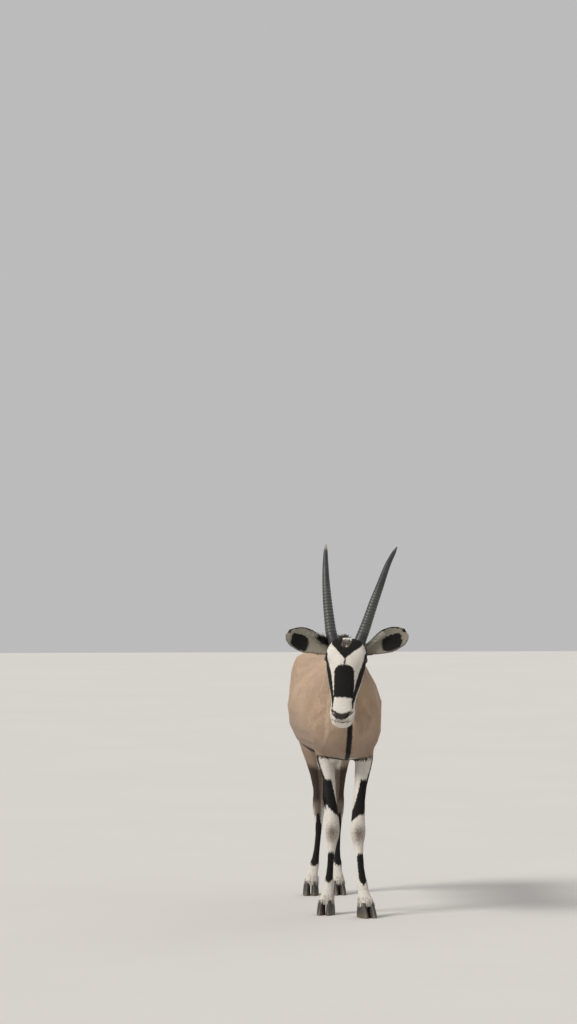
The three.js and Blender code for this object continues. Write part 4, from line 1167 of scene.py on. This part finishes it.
class Surface:
    """The skin's triangles, for placing hair on it and for reading its unwrap."""

    def __init__(self):
        mesh = bpy.data.objects["skin"].data
        mesh.calc_loop_triangles()
        count = len(mesh.loop_triangles)
        corners = np.empty(count * 3, np.int32)
        loops = np.empty(count * 3, np.int32)
        self.areas = np.empty(count, np.float32)
        mesh.loop_triangles.foreach_get("vertices", corners)
        mesh.loop_triangles.foreach_get("loops", loops)
        mesh.loop_triangles.foreach_get("area", self.areas)
        spots = np.empty(len(mesh.loops) * 2, np.float32)
        mesh.uv_layers[UV_NAME].uv.foreach_get("vector", spots)
        self.corners = corners.reshape(-1, 3)
        self.places = coords(mesh)[self.corners]
        self.ways = normals(mesh)[self.corners]
        self.spots = spots.reshape(-1, 2)[loops.reshape(-1, 3)]
        self.tree = BVHTree.FromPolygons(coords(mesh).tolist(), self.corners.tolist())
        Surface.shared = self

    def nearest(self, points):
        """The nearest places on the skin, their directions and their spots on the unwrap."""
        hits = [self.tree.find_nearest(point) for point in points.tolist()]
        index = np.array([hit[2] for hit in hits])
        found = np.array([hit[0][:] for hit in hits])
        return found, unit(self.ways[index].mean(axis=1)), self.spots[index].mean(axis=1)

    def scatter(self, kinds, draw):
        """Evenly spread places for the kinds of fur: places, directions, spots on the unwrap and kinds."""
        spacing = np.array([FUR[name][0] * MM for name in FUR])[kinds]
        wanted = np.where(kinds >= 0, self.areas / spacing ** 2 * 2.4, 0)
        tries = draw.poisson(wanted)
        index = np.repeat(np.arange(len(tries)), tries)
        draw.shuffle(index)
        share = draw.dirichlet((1, 1, 1), len(index))[:, :, None]
        places = (self.places[index] * share).sum(axis=1)
        cell = spacing[index] * 0.93
        keys = np.floor(places / cell[:, None]).astype(np.int64) + 4096
        code = ((keys[:, 0] << 26) + (keys[:, 1] << 13) + keys[:, 2]) * 8 + kinds[index]
        kept = np.sort(np.unique(code, return_index=True)[1])
        spots = (self.spots[index[kept]] * share[kept]).sum(axis=1)
        ways = unit((self.ways[index[kept]] * share[kept]).sum(axis=1))
        return places[kept], ways, spots, kinds[index[kept]]


def fur_kinds(points):
    """Which kind of fur grows where: its number in the table, or below nought for none."""
    plan = to_plan(points)
    head = to_head(points)
    names = list(FUR)
    y, z = plan[:, 1], plan[:, 2]
    kinds = np.full(len(points), names.index("torso"))
    kinds[(y < -10) & (z > 900)] = names.index("neck")
    kinds[(z < 690) & ((y < FORELEG_BACK) | (y > HIND_FRONT))] = names.index("leg")
    kinds[z < 150] = names.index("foot")
    kinds[(y > TAIL_FRONT) & (z < DOCK_TOP)] = names.index("tail")
    kinds[head_share(points) > 0.5] = names.index("face")
    kinds[ear_nearness(plan) > 0.35] = names.index("ear")
    bald = z < 61
    for path in HORN_PATHS.values():
        _, distance, row = along_line(plan, path)
        bald |= distance < row[:, 3] + 1.0
    bald |= lid_margin(head) < 2.5
    bald |= (np.maximum(strip(head, NOSE_BAND), both_sides(head, NOSTRIL) + 3) > 0) & (head[:, 1] < 30)
    bald |= both_sides(head, LIP_LINE) > -1.2
    kinds[bald] = -1
    return kinds


def hair_lie(points, draw):
    """The way the hair lies: back along the body, down the chest, rump and legs, out along the ears."""
    plan = to_plan(points)
    head = to_head(points)
    x, y, z = plan.T

    def blend(first, second, share):
        return first + (np.asarray(second, float) - first) * share[:, None]

    way = np.tile((0.0, 1.0, -0.3), (len(plan), 1))
    way = blend(way, (0, 0.75, -0.75), smooth_step(1130, 1000, z) * smooth_step(200, 60, y))
    way = blend(way, (0, 0.35, -1.0), smooth_step(70, -90, y))
    way = blend(way, (0, 0.1, -1.0), smooth_step(880, 990, y))
    way = blend(way, (0, 0.12, -1.0), smooth_step(760, 670, z) * ((y < FORELEG_BACK) | (y > HIND_FRONT)))
    way = blend(way, (0, 0.05, -1.0), ((y > TAIL_FRONT) & (z < DOCK_TOP)).astype(float))
    aside = np.sign(head[:, 0]) * np.minimum(np.abs(head[:, 0]) / 60, 1)
    rise = 2 * smooth_step(-46, 26, head[:, 2]) - 1
    spread = aside * (0.3 + 0.9 * (1 - rise ** 2))
    face = np.stack((spread, 0.3 + 0.1 * rise, rise), 1)
    cheek = smooth_step(-10, 36, head[:, 1])[:, None]
    face = face + (np.array((0, 1.0, -0.25)) - face) * cheek
    share = head_share(points)[:, None]
    way = way + (unit(face) @ HEAD_TURN.T - way) * share
    for side, path in EAR_PATHS.items():
        along, across, beyond, _ = ear_place(plan, side)
        outward = np.subtract(path[-1][:3], path[0][:3])
        on_ear = smooth_step(0.02, 0.2, along) * (beyond < 12)
        way = blend(way, unit(outward), on_ear)
    return unit(unit(way) + draw.normal(0, TUFT_JITTER, way.shape))


def flat_to(ways, faces):
    """Turns directions into the surface's plane."""
    return unit(ways - faces * (ways * faces).sum(axis=1, keepdims=True))


def blades(middles, faces, widths, profile, thickness):
    """Closed tapered blades of three sides along middles, an array of n by rings + 1 by 3, in metres."""
    count, rings = len(middles), middles.shape[1] - 1
    ways = unit(middles[:, -1] - middles[:, 0])
    across = unit(np.cross(ways, faces))
    out = np.cross(across, ways)
    places = np.empty((count, 3 * rings + 1, 3))
    lean = np.empty_like(places)
    for i in range(rings):
        half = (widths / 2 * profile[i])[:, None]
        places[:, 3 * i] = middles[:, i] + across * half
        places[:, 3 * i + 1] = middles[:, i] + out * half * thickness
        places[:, 3 * i + 2] = middles[:, i] - across * half
        lean[:, 3 * i] = out + across * 0.45
        lean[:, 3 * i + 1] = out
        lean[:, 3 * i + 2] = out - across * 0.45
    places[:, -1] = middles[:, -1]
    lean[:, -1] = out + ways * 0.2
    pattern = [(0, 1, 2)]
    for i in range(rings - 1):
        for k in range(3):
            a, b = 3 * i + k, 3 * i + (k + 1) % 3
            pattern += [(b, a, b + 3), (b + 3, a, a + 3)]
    last = 3 * (rings - 1)
    pattern += [(last + (k + 1) % 3, last + k, 3 * rings) for k in range(3)]
    triangles = (np.arange(count)[:, None, None] * (3 * rings + 1) + np.array(pattern)).reshape(-1, 3)
    return places, triangles, unit(lean)


def hair_object(name, middles, faces, widths, spots, shades, profile=(1.0, 0.85), thickness=0.4):
    """A piece of hair: its blades with shading directions, shades and patches on the skin's unwrap."""
    places, triangles, lean = blades(middles, faces, widths, profile, thickness)
    count, each = places.shape[:2]
    hair = mesh_object(name, places.reshape(-1, 3), triangles)
    mesh = hair.data
    layer = mesh.attributes.new("custom_normal", "FLOAT_VECTOR", "POINT")
    layer.data.foreach_set("vector", lean.astype(np.float32).ravel())
    level = np.append(np.repeat(np.arange(len(profile)) / len(profile), 3), 1.0)
    write_field(mesh, "shade", (shades[:, None] + level * 0.3 - 0.15).ravel())
    step = np.tile((-0.5, 0.0, 0.5), len(profile))
    patch = np.stack((np.append(step, 0.0), level - 0.5), 1) * PATCH
    spread = (spots[:, None] + patch).reshape(-1, 2)
    corner = np.empty(len(mesh.loops), np.int32)
    mesh.loops.foreach_get("vertex_index", corner)
    mesh.uv_layers.new(name=UV_NAME).uv.foreach_set("vector", spread[corner].astype(np.float32).ravel())
    return hair, each


# Pieces of the coat: slot, kinds of fur, and limits of x and y on the plan
COAT_PIECES = {
    "coat_face": ("coat_pale", ("face",), (-400, 400), (-700, 400)),
    "coat_ears": ("coat_tan", ("ear",), (-400, 400), (-700, 400)),
    "coat_neck": ("coat_tan", ("neck",), (-400, 400), (-700, 400)),
    "coat_shoulder_right": ("coat_tan", ("torso",), (-400, 0), (-700, 420)),
    "coat_shoulder_left": ("coat_tan", ("torso",), (0, 400), (-700, 420)),
    "coat_rump_right": ("coat_tan", ("torso",), (-400, 0), (420, 1200)),
    "coat_rump_left": ("coat_tan", ("torso", "tail"), (0, 400), (420, 1200)),
    "coat_dock": ("coat_black", ("tail",), (-400, 0), (420, 1200)),
    "coat_forelegs": ("coat_black", ("leg",), (-400, 400), (-700, 420)),
    "coat_hindlegs": ("coat_pale", ("leg",), (-400, 400), (420, 1200)),
    "coat_feet": ("coat_pale", ("foot",), (-400, 400), (-700, 1200)),
}


class OBJECT_OT_gemsbok_coat(bpy.types.Operator):
    """Cover the skin with short tufts of hair that lie along it"""
    bl_idname = "object.gemsbok_coat"
    bl_label = "Coat"

    def execute(self, context):
        draw = np.random.default_rng(29)
        surface = Surface()
        names = list(FUR)
        places, ways, spots, kinds = surface.scatter(fur_kinds(surface.places.mean(axis=1)), draw)
        kept = fur_kinds(places) >= 0
        places, ways, spots, kinds = (values[kept] for values in (places, ways, spots, kinds))
        table_rows = np.array(list(FUR.values()))
        _, lengths, widths, lifts = table_rows[kinds].T * MM
        lengths = lengths * draw.uniform(0.8, 1.2, len(kinds))
        lie = flat_to(hair_lie(places, draw), ways)
        fields = coat_fields(places, ways)
        shades = draw.uniform(-0.16, 0.16, len(kinds))
        middles = np.empty((len(places), 3, 3))
        middles[:, 0] = places - ways * TUFT_SUNK * MM
        for ring, reach in ((1, 0.45), (2, 1.0)):
            near, faces, _ = surface.nearest(places + lie * (lengths * reach)[:, None])
            middles[:, ring] = near + faces * (lifts * (0.35 + 0.65 * reach))[:, None]
        material = bpy.data.materials["coat_skin"]
        plan = to_plan(places)
        for name, (slot, wanted, x_limits, y_limits) in COAT_PIECES.items():
            chosen = np.isin(kinds, [names.index(kind) for kind in wanted])
            chosen &= (plan[:, 0] >= x_limits[0]) & (plan[:, 0] < x_limits[1])
            chosen &= (plan[:, 1] >= y_limits[0]) & (plan[:, 1] < y_limits[1])
            hair, each = hair_object(
                name, middles[chosen], ways[chosen], widths[chosen], spots[chosen], shades[chosen])
            for field, values in fields.items():
                write_field(hair.data, field, np.repeat(values[chosen], each))
            hair.data.materials.append(material)
            finish_piece(hair)
        return {"FINISHED"}


# Eyes, horns, hooves
EYE_SEGMENTS = 48
EYE_RINGS = 32
# How far the cornea stands out, as a share of the eyeball's radius, and the share of its length that the
# pupil is high
CORNEA_BULGE = 0.075
PUPIL_SQUEEZE = 0.62


class OBJECT_OT_gemsbok_eyes(bpy.types.Operator):
    """Make the two eyeballs with their corneas"""
    bl_idname = "object.gemsbok_eyes"
    bl_label = "Eyes"

    def execute(self, context):
        radius = context.scene.gemsbok_sizes.eye_radius
        material = eye_material(context.scene.gemsbok_colours)
        for side, sign in SIDES.items():
            deselect()
            bpy.ops.mesh.primitive_uv_sphere_add(segments=EYE_SEGMENTS, ring_count=EYE_RINGS, radius=1.0)
            eye = bpy.context.active_object
            eye.name = "eyeball_" + side
            shape = coords(eye.data)
            polar = np.arccos(np.clip(shape[:, 2], -1, 1))
            bulge = 1 + CORNEA_BULGE * smooth_step(0.74, 0.0, polar)
            looks = EYE_LOOKS * (sign, 1, 1)
            upper = EYE_UPPER * (sign, 1, 1)
            turn = np.array((np.cross(upper, looks), upper, looks))
            pupil = np.hypot(shape[:, 0] * PUPIL_SQUEEZE, shape[:, 1]) + (shape[:, 2] < 0) * 2
            write_field(eye.data, "pupil", pupil)
            local = shape * bulge[:, None] * (radius / MM) @ turn + EYE_AT * (sign, 1, 1)
            set_coords(eye.data, from_head(local))
            only(eye)
            bpy.ops.object.shade_smooth()
            eye.data.materials.append(material)
            finish_piece(eye, ("eye_" + side,))
        return {"FINISHED"}


# The horns' rings: where they begin and end along the horn, their spacing and their height
HORN_RINGS_FROM = 66.0
HORN_RINGS_TO = 350.0
HORN_RING_SPACING = 15.0
HORN_RING_HEIGHT = 2.2
HORN_STEPS = 330
HORN_AROUND = 36
# How pale each tip turns, partly wear and partly painted highlight, more on the right horn
HORN_TIP_WEAR_AND_HIGHLIGHT = {"right": 1.0, "left": 0.5}


class OBJECT_OT_gemsbok_horns(bpy.types.Operator):
    """Make the two ringed horns"""
    bl_idname = "object.gemsbok_horns"
    bl_label = "Horns"

    def execute(self, context):
        material = horn_material(context.scene.gemsbok_colours)
        for side, path in HORN_PATHS.items():
            rows = polyline(path, HORN_STEPS)
            at = np.concatenate(([0], np.cumsum(np.linalg.norm(np.diff(rows[:, :3], axis=0), axis=1))))
            ringed = smooth_step(HORN_RINGS_FROM - 20, HORN_RINGS_FROM + 10, at)
            ringed *= smooth_step(HORN_RINGS_TO, HORN_RINGS_TO - 120, at)
            wave = (at - HORN_RINGS_FROM) / HORN_RING_SPACING
            ridge = np.abs(np.sin(math.pi * wave)) ** 0.7
            rows[:, 3] += ringed * HORN_RING_HEIGHT * (ridge - 0.5)
            places, faces = tube(rows, HORN_AROUND)
            horn = mesh_object("horn_sheath_" + side, from_plan(places), faces)
            level = np.concatenate((np.repeat(at, HORN_AROUND), (at[0], at[-1])))
            # Pale tips, partly wear and partly painted highlight.
            tone_shift = smooth_step(at[-1] - 70, at[-1], level) * HORN_TIP_WEAR_AND_HIGHLIGHT[side]
            write_field(horn.data, "tip", tone_shift)
            # Each place's share of a ring's ridge, for the ridges' painted highlight.
            ridges = np.concatenate((np.repeat(ridge * ringed, HORN_AROUND), (0, 0)))
            write_field(horn.data, "ridge", ridges)
            horn.data.materials.append(material)
            finish_piece(horn, ("horn_" + side,))
        return {"FINISHED"}


# How far the claws close the gap between them, in millimetres, the cell of their mesh, and above which
# height they grow into the coat, in metres
CLEFT_CLOSED = 4.5
CLAW_VOXEL = 0.0018
CLAW_GROWS_ABOVE = 0.045


class OBJECT_OT_gemsbok_hooves(bpy.types.Operator):
    """Make the claws of the hooves, rounded and grown a little into the coat"""
    bl_idname = "object.gemsbok_hooves"
    bl_label = "Hooves"

    def execute(self, context):
        material = hoof_material(context.scene.gemsbok_colours)
        for foot in FEET:
            middle = (node_middle(f"hoof_{foot}_outer") + node_middle(f"hoof_{foot}_inner")) / 2
            for side in ("outer", "inner"):
                node = f"hoof_{foot}_{side}"
                claw = copy_nodes((node,), "claw_" + foot + "_" + side)
                claw.data.remesh_voxel_size = CLAW_VOXEL
                only(claw)
                bpy.ops.object.voxel_remesh()
                modify(claw, "SMOOTH", factor=0.5, iterations=8)
                places = coords(claw.data)
                places[:, 2] -= places[:, 2].min()
                aside = unit(((node_middle(node) - middle) * (1, 1, 0))[None])[0]
                reach = (places - middle) @ aside
                width = reach.max()
                closed = CLEFT_CLOSED * MM * np.clip(1 - reach / width, 0, 1) ** 1.5
                places -= aside * closed[:, None]
                places[:, 2] += np.maximum(places[:, 2] - CLAW_GROWS_ABOVE, 0) * 0.25
                set_coords(claw.data, places)
                only(claw)
                bpy.ops.object.shade_smooth_by_angle(angle=math.radians(40))
                claw.data.materials.append(material)
                finish_piece(claw, (node,))
        return {"FINISHED"}


# Longer hair
def curved(roots, tips, sag, rings):
    """Middles of blades from roots to tips, all in millimetres, which sag sideways by a part of the way."""
    share = np.linspace(0, 1, rings + 1)[None, :, None]
    straight = roots[:, None] + (tips - roots)[:, None] * share
    return straight + sag[:, None] * (4 * share * (1 - share))


def grow(name, roots, tips, sag, width, draw, material, rings=4, replaced=()):
    """A piece of longer hair from roots and tips on the plan."""
    count = len(roots)
    middles = from_plan(curved(roots, tips, sag, rings))
    _, faces, spots = Surface.shared.nearest(middles[:, 0])
    widths = draw.uniform(0.75, 1.2, count) * width * MM
    profile = 1 - 0.8 * np.linspace(0, 1, rings + 1)[:-1] ** 1.6
    away = unit(sag + faces * 0.3 + draw.normal(0, 0.05, faces.shape))
    hair, _ = hair_object(name, middles, away, widths, spots, draw.uniform(-0.3, 0.4, count), profile, 0.6)
    hair.data.materials.append(material)
    finish_piece(hair, replaced)


TAIL_HAIRS = 2200
TAIL_STEPS = 60
# The first step of the tail's line that bears long hair, how far the roots lie from the line, the lowest
# tips, and how far from the line the tips hang
TAIL_HAIR_FROM = 16
TAIL_ROOT = 7
TAIL_FOOT = 378
TAIL_SPREAD = 19


class OBJECT_OT_gemsbok_tail(bpy.types.Operator):
    """Make the long hair of the tail"""
    bl_idname = "object.gemsbok_tail"
    bl_label = "Tail hair"

    def execute(self, context):
        draw = np.random.default_rng(41)
        count = TAIL_HAIRS
        start = draw.uniform(0, 1, count) ** 0.8
        angle = draw.uniform(0, 2 * math.pi, count)
        middle = polyline(TAIL_LINE, TAIL_STEPS)
        steps = TAIL_STEPS - 1 - TAIL_HAIR_FROM
        rows = middle[np.round(TAIL_HAIR_FROM + start * steps).astype(int)]
        side = np.stack((np.cos(angle), np.sin(angle), np.zeros(count)), 1)
        roots = rows[:, :3] + side * TAIL_ROOT
        lowest = TAIL_FOOT + draw.uniform(0, 80, count)
        tip_z = np.maximum(lowest, rows[:, 2] - draw.uniform(170, 290, count))
        spread = draw.uniform(0.35, 1.0, count) * TAIL_SPREAD
        tips = np.stack((13 + side[:, 0] * spread, 1056 + side[:, 1] * spread, tip_z), 1)
        sag = side * draw.uniform(4, 13, count)[:, None]
        material = hair_material("tail_hair", linear(16, 14, 13), linear(52, 43, 37))
        grow("tail_hair", roots, tips, sag, 4.2, draw, material, 6, ("tail_tuft",))
        return {"FINISHED"}


MANE_HAIRS = 4200
MANE_STEPS = 400
# Half the mane's width, and the length of its hair behind the poll and how much shorter it is at the withers
MANE_HALF = 15
MANE_LENGTH = 58
MANE_SHORTER = 36


class OBJECT_OT_gemsbok_mane(bpy.types.Operator):
    """Make the short mane along the nape and withers"""
    bl_idname = "object.gemsbok_mane"
    bl_label = "Mane"

    def execute(self, context):
        draw = np.random.default_rng(43)
        count = MANE_HAIRS
        line = polyline(NAPE_LINE, MANE_STEPS)
        share = draw.uniform(0.0, 0.97, count)
        rows = line[(share * (MANE_STEPS - 1)).astype(int)]
        aside = draw.normal(0, 6.5, count).clip(-MANE_HALF, MANE_HALF)
        roots = rows[:, :3] + np.stack((aside, np.zeros(count), -3 - aside ** 2 / 124), 1)
        roots = to_plan(Surface.shared.nearest(from_plan(roots))[0]) - (0, 0, 1.5)
        ways = np.stack((
            aside * 0.022 + draw.normal(0, 0.08, count),
            0.80 + draw.normal(0, 0.06, count),
            0.60 - 0.52 * share + draw.normal(0, 0.06, count),
        ), 1)
        lengths = (MANE_LENGTH - MANE_SHORTER * share) * draw.uniform(0.6, 1.1, count)
        tips = roots + unit(ways) * lengths[:, None]
        sag = np.stack((aside * 0.08, np.full(count, -1.0), np.full(count, 2.4)), 1)
        material = hair_material("mane_hair", linear(34, 27, 23), linear(92, 75, 60))
        grow("mane_hair", roots, tips, sag, 3.2, draw, material)
        return {"FINISHED"}


# Tufts that break the form: name, slot, count, head or plan frame, middle and half spread of the roots, way
# of the hair, its length and width, colours of its dark and light hairs
LOCKS = (
    ("forelock", "coat_brown", 380, "head", (-2, -20, 74), (17, 16, 18), (0.0, -0.5, -0.85), 24, 2.0,
     (62, 54, 48), (150, 140, 128)),
    ("poll_tuft", "coat_black", 420, "plan", (-122, -342, 1228), (18, 12, 14), (-0.75, 0.15, 0.62), 46, 2.8,
     (16, 14, 13), (44, 38, 34)),
)
EAR_HAIRS = 420
LASHES = 60
PASTERN_HAIRS = 2600
# The pastern's hair: how far it hangs, how far it bends out, and where its lowest tips end
PASTERN_REACH = 13
PASTERN_BEND = 1.6
PASTERN_FOOT = 43


class OBJECT_OT_gemsbok_locks(bpy.types.Operator):
    """Make the forelock, the ears' inner hair, the lashes and the hair over the hooves"""
    bl_idname = "object.gemsbok_locks"
    bl_label = "Locks"

    def execute(self, context):
        draw = np.random.default_rng(47)
        for name, slot, count, kind, middle, spread, way, length_, width, dark, light in LOCKS:
            roots = np.array(middle) + draw.uniform(-1, 1, (count, 3)) * spread
            roots = from_head(roots) if kind == "head" else from_plan(roots)
            roots, faces, _ = Surface.shared.nearest(roots)
            turned = HEAD_TURN @ np.array(way) if kind == "head" else np.array(way)
            ways = unit(turned + draw.normal(0, 0.16, (count, 3)) + faces * 0.25)
            roots = to_plan(roots - faces * 0.002)
            tips = roots + ways * (length_ * draw.uniform(0.6, 1.1, count))[:, None]
            material = hair_material(name + "_hair", linear(*dark), linear(*light))
            grow(name, roots, tips, faces * 3.0, width, draw, material)
        self.ear_hair(draw)
        self.lashes(draw)
        self.hoof_hair(draw)
        return {"FINISHED"}

    @staticmethod
    def ear_hair(draw):
        """Pale hair along the upper inner edge of each ear, which hangs into its cup."""
        roots, ways = [], []
        for side, path in EAR_PATHS.items():
            rows = polyline(path, 200)
            at = rows[draw.integers(14, 118, EAR_HAIRS)]
            outward = unit(np.subtract(path[-1][:3], path[0][:3]))
            across = unit(np.cross(outward, EAR_FACING)) * SIDES[side]
            level = draw.uniform(-0.92, -0.62, EAR_HAIRS)
            roots.append(at[:, :3] + across * (level * at[:, 3])[:, None])
            inward = across * draw.uniform(0.25, 0.8, EAR_HAIRS)[:, None]
            ways.append(outward * 0.75 + inward + EAR_FACING * draw.uniform(0.15, 0.4, EAR_HAIRS)[:, None])
        places, faces, _ = Surface.shared.nearest(from_plan(np.vstack(roots)))
        kept = faces @ EAR_FACING > 0
        faces = faces[kept]
        start = to_plan(places[kept] - faces * 0.001)
        tips = start + unit(np.vstack(ways)[kept]) * draw.uniform(13, 27, len(start))[:, None]
        material = hair_material("ear_hair", linear(150, 146, 134), linear(214, 210, 198))
        grow("ear_hair", start, tips, faces * 2.5, 1.7, draw, material)

    @staticmethod
    def lashes(draw):
        """Dark lashes along the upper lid of each eye."""
        count = LASHES
        share = np.linspace(-0.8, 0.85, count)
        level = OPENING_ABOVE * (1 - share ** 2) ** 0.8 + 1.2
        flat = EYE_CORNER * (share * OPENING_HALF_LENGTH)[:, None] + EYE_UPPER * level[:, None]
        deep = np.sqrt(LID_RADIUS ** 2 - (flat ** 2).sum(axis=1))
        local = EYE_AT + flat + EYE_LOOKS * (deep - 0.8)[:, None]
        way = unit(EYE_LOOKS + EYE_UPPER * 0.35 + EYE_CORNER * (share * 0.5)[:, None])
        tips = local + way * draw.uniform(8, 12, count)[:, None]
        both = [(part * (sign, 1, 1)) @ HEAD_TURN.T + HEAD_AT for part in (local, tips) for sign in (-1, 1)]
        roots, ends = np.vstack(both[:2]), np.vstack(both[2:])
        sag = np.tile((0.0, 0.0, -1.4), (len(roots), 1))
        material = hair_material("lash_hair", linear(12, 10, 9), linear(30, 26, 23))
        grow("lashes", roots, ends, sag, 0.8, draw, material)

    @staticmethod
    def hoof_hair(draw):
        """White hair that hangs from the pastern over the top of each hoof."""
        mesh = bpy.data.objects["skin"].data
        places, faces = coords(mesh), normals(mesh)
        low = (places[:, 2] > 0.063) & (places[:, 2] < 0.092) & (np.abs(faces[:, 2]) < 0.75)
        low = np.nonzero(low)[0]
        chosen = draw.choice(low, PASTERN_HAIRS)
        faces = faces[chosen]
        roots = to_plan(places[chosen] + draw.normal(0, 0.0015, faces.shape) - faces * 0.001)
        outward = unit(faces * (1, 1, 0))
        tips = roots + outward * draw.uniform(2.5, 6.5, len(roots))[:, None]
        drop = draw.uniform(1.2, 2.2, len(roots)) * PASTERN_REACH
        tips[:, 2] = np.maximum(roots[:, 2] - drop, PASTERN_FOOT)
        material = hair_material("pastern_hair", linear(168, 160, 148), linear(226, 220, 210))
        grow("pastern_hair", roots, tips, outward * PASTERN_BEND, 2.2, draw, material)


# Dewclaws: the fetlock's middle on the plan and how far behind it they stand
DEWCLAWS = (((-67, 70), 30), ((71, -55), 30), ((-48, 962), 29), ((60, 978), 29))
DEWCLAW_SPREAD = 11.5


class OBJECT_OT_gemsbok_dewclaws(bpy.types.Operator):
    """Make the small claws behind the fetlocks"""
    bl_idname = "object.gemsbok_dewclaws"
    bl_label = "Dewclaws"

    def execute(self, context):
        places, faces = [], []
        for (x, y), back in DEWCLAWS:
            for side in (-1, 1):
                at = x + side * DEWCLAW_SPREAD
                rows = polyline(((at - side * 3, y + back - 15, 131, 6.4), (at, y + back - 6, 125, 7.4),
                                 (at + side, y + back - 1, 117, 5.6), (at + side, y + back, 111, 1.4)), 12)
                shape, pattern = tube(rows, 14)
                faces.append(pattern + sum(len(part) for part in places))
                places.append(shape)
        claws = mesh_object("dewclaws", from_plan(np.vstack(places)), np.vstack(faces))
        claws.data.materials.append(bpy.data.materials["hoof_horn"])
        finish_piece(claws)
        return {"FINISHED"}


# Stage. Each sun: name, place, strength, softness in degrees and tint
SUNS = (
    ("key", (-3.4, -1.7, 4.0), 2.5, 20, (1.0, 0.965, 0.92)),
    ("rim", (2.4, 3.4, 3.6), 0.5, 50, (1.0, 0.98, 0.96)),
)
FLOOR_SIZE = 60
WORLD_GREY = 0.86
WORLD_STRENGTH = 0.58
# The picture's height in pixels, and the row on which the horizon lies
PICTURE_HEIGHT = 1024
HORIZON_ROW = 500


class SCENE_OT_gemsbok_stage(bpy.types.Operator):
    """Make the floor, the soft lights and the camera"""
    bl_idname = "scene.gemsbok_stage"
    bl_label = "Stage"

    def execute(self, context):
        settings = context.scene.gemsbok_stage
        deselect()
        bpy.ops.mesh.primitive_plane_add(size=FLOOR_SIZE, location=(0, 0, 0))
        floor = bpy.context.active_object
        floor.name = "floor"
        nodes = Nodes("floor_plain")
        tone = nodes.noise(nodes.place(), 0.8, 2.0)
        share = nodes.ramp(tone, 0.3, 0.7, 0.0, 0.25)
        tone_shift = nodes.mix(share, context.scene.gemsbok_colours.floor, linear(198, 195, 190))
        floor.data.materials.append(nodes.finish({"Base Color": tone_shift, "Roughness": 0.9}))
        world = bpy.data.worlds.new("studio")
        world.use_nodes = True
        background = world.node_tree.nodes["Background"]
        background.inputs["Color"].default_value = (WORLD_GREY, WORLD_GREY, WORLD_GREY, 1)
        background.inputs["Strength"].default_value = WORLD_STRENGTH
        context.scene.world = world
        for sun in SUNS:
            self.add_sun(*sun)
        self.add_camera(settings)
        context.scene.view_settings.view_transform = "Standard"
        return {"FINISHED"}

    @staticmethod
    def add_sun(name, place, strength, softness, tint):
        """A wide soft sun that shines from a place towards the middle of the stage."""
        light = bpy.data.lights.new(name, "SUN")
        light.energy = strength
        light.angle = math.radians(softness)
        light.color = tint
        lamp = bpy.data.objects.new(name, light)
        bpy.context.scene.collection.objects.link(lamp)
        lamp.location = place
        lamp.rotation_euler = (Vector((0, 0, 0.8)) - Vector(place)).to_track_quat("-Z", "Y").to_euler()

    @staticmethod
    def add_camera(settings):
        turn = settings.camera_turn
        ahead = Vector((-math.sin(turn), math.cos(turn), 0))
        right = Vector((math.cos(turn), math.sin(turn), 0))
        camera = bpy.data.cameras.new("camera")
        camera.lens = settings.lens
        camera.shift_y = (HORIZON_ROW - PICTURE_HEIGHT / 2) / PICTURE_HEIGHT
        holder = bpy.data.objects.new("camera", camera)
        bpy.context.scene.collection.objects.link(holder)
        origin = Vector(PLAN_ORIGIN)
        holder.location = origin - ahead * settings.camera_distance - right * settings.aside
        holder.location.z = settings.camera_height
        holder.rotation_euler = ahead.to_track_quat("-Z", "Y").to_euler()
        bpy.context.scene.camera = holder


class VIEW3D_PT_gemsbok(bpy.types.Panel):
    """Lists the steps that build the model"""
    bl_label = "Gemsbok Model"
    bl_idname = "VIEW3D_PT_gemsbok"
    bl_space_type = "VIEW_3D"
    bl_region_type = "UI"
    bl_category = "Gemsbok"

    def draw(self, context):
        for kind in STEPS:
            self.layout.operator(kind.bl_idname)


GROUPS = {"gemsbok_colours": GemsbokColours, "gemsbok_sizes": GemsbokSizes, "gemsbok_stage": GemsbokStage}
STEPS = (
    OBJECT_OT_gemsbok_skin, OBJECT_OT_gemsbok_eyes, OBJECT_OT_gemsbok_horns, OBJECT_OT_gemsbok_hooves,
    OBJECT_OT_gemsbok_dewclaws, OBJECT_OT_gemsbok_coat, OBJECT_OT_gemsbok_tail, OBJECT_OT_gemsbok_mane,
    OBJECT_OT_gemsbok_locks, SCENE_OT_gemsbok_stage,
)


def register():
    for kind in (*GROUPS.values(), *STEPS, VIEW3D_PT_gemsbok):
        bpy.utils.register_class(kind)
    for name, kind in GROUPS.items():
        setattr(bpy.types.Scene, name, bpy.props.PointerProperty(type=kind))


def unregister():
    for name in GROUPS:
        delattr(bpy.types.Scene, name)
    for kind in reversed((*GROUPS.values(), *STEPS, VIEW3D_PT_gemsbok)):
        bpy.utils.unregister_class(kind)


def main():
    register()
    for kind in STEPS:
        group, name = kind.bl_idname.split(".")
        getattr(getattr(bpy.ops, group), name)()


if __name__ == "__main__":
    main()
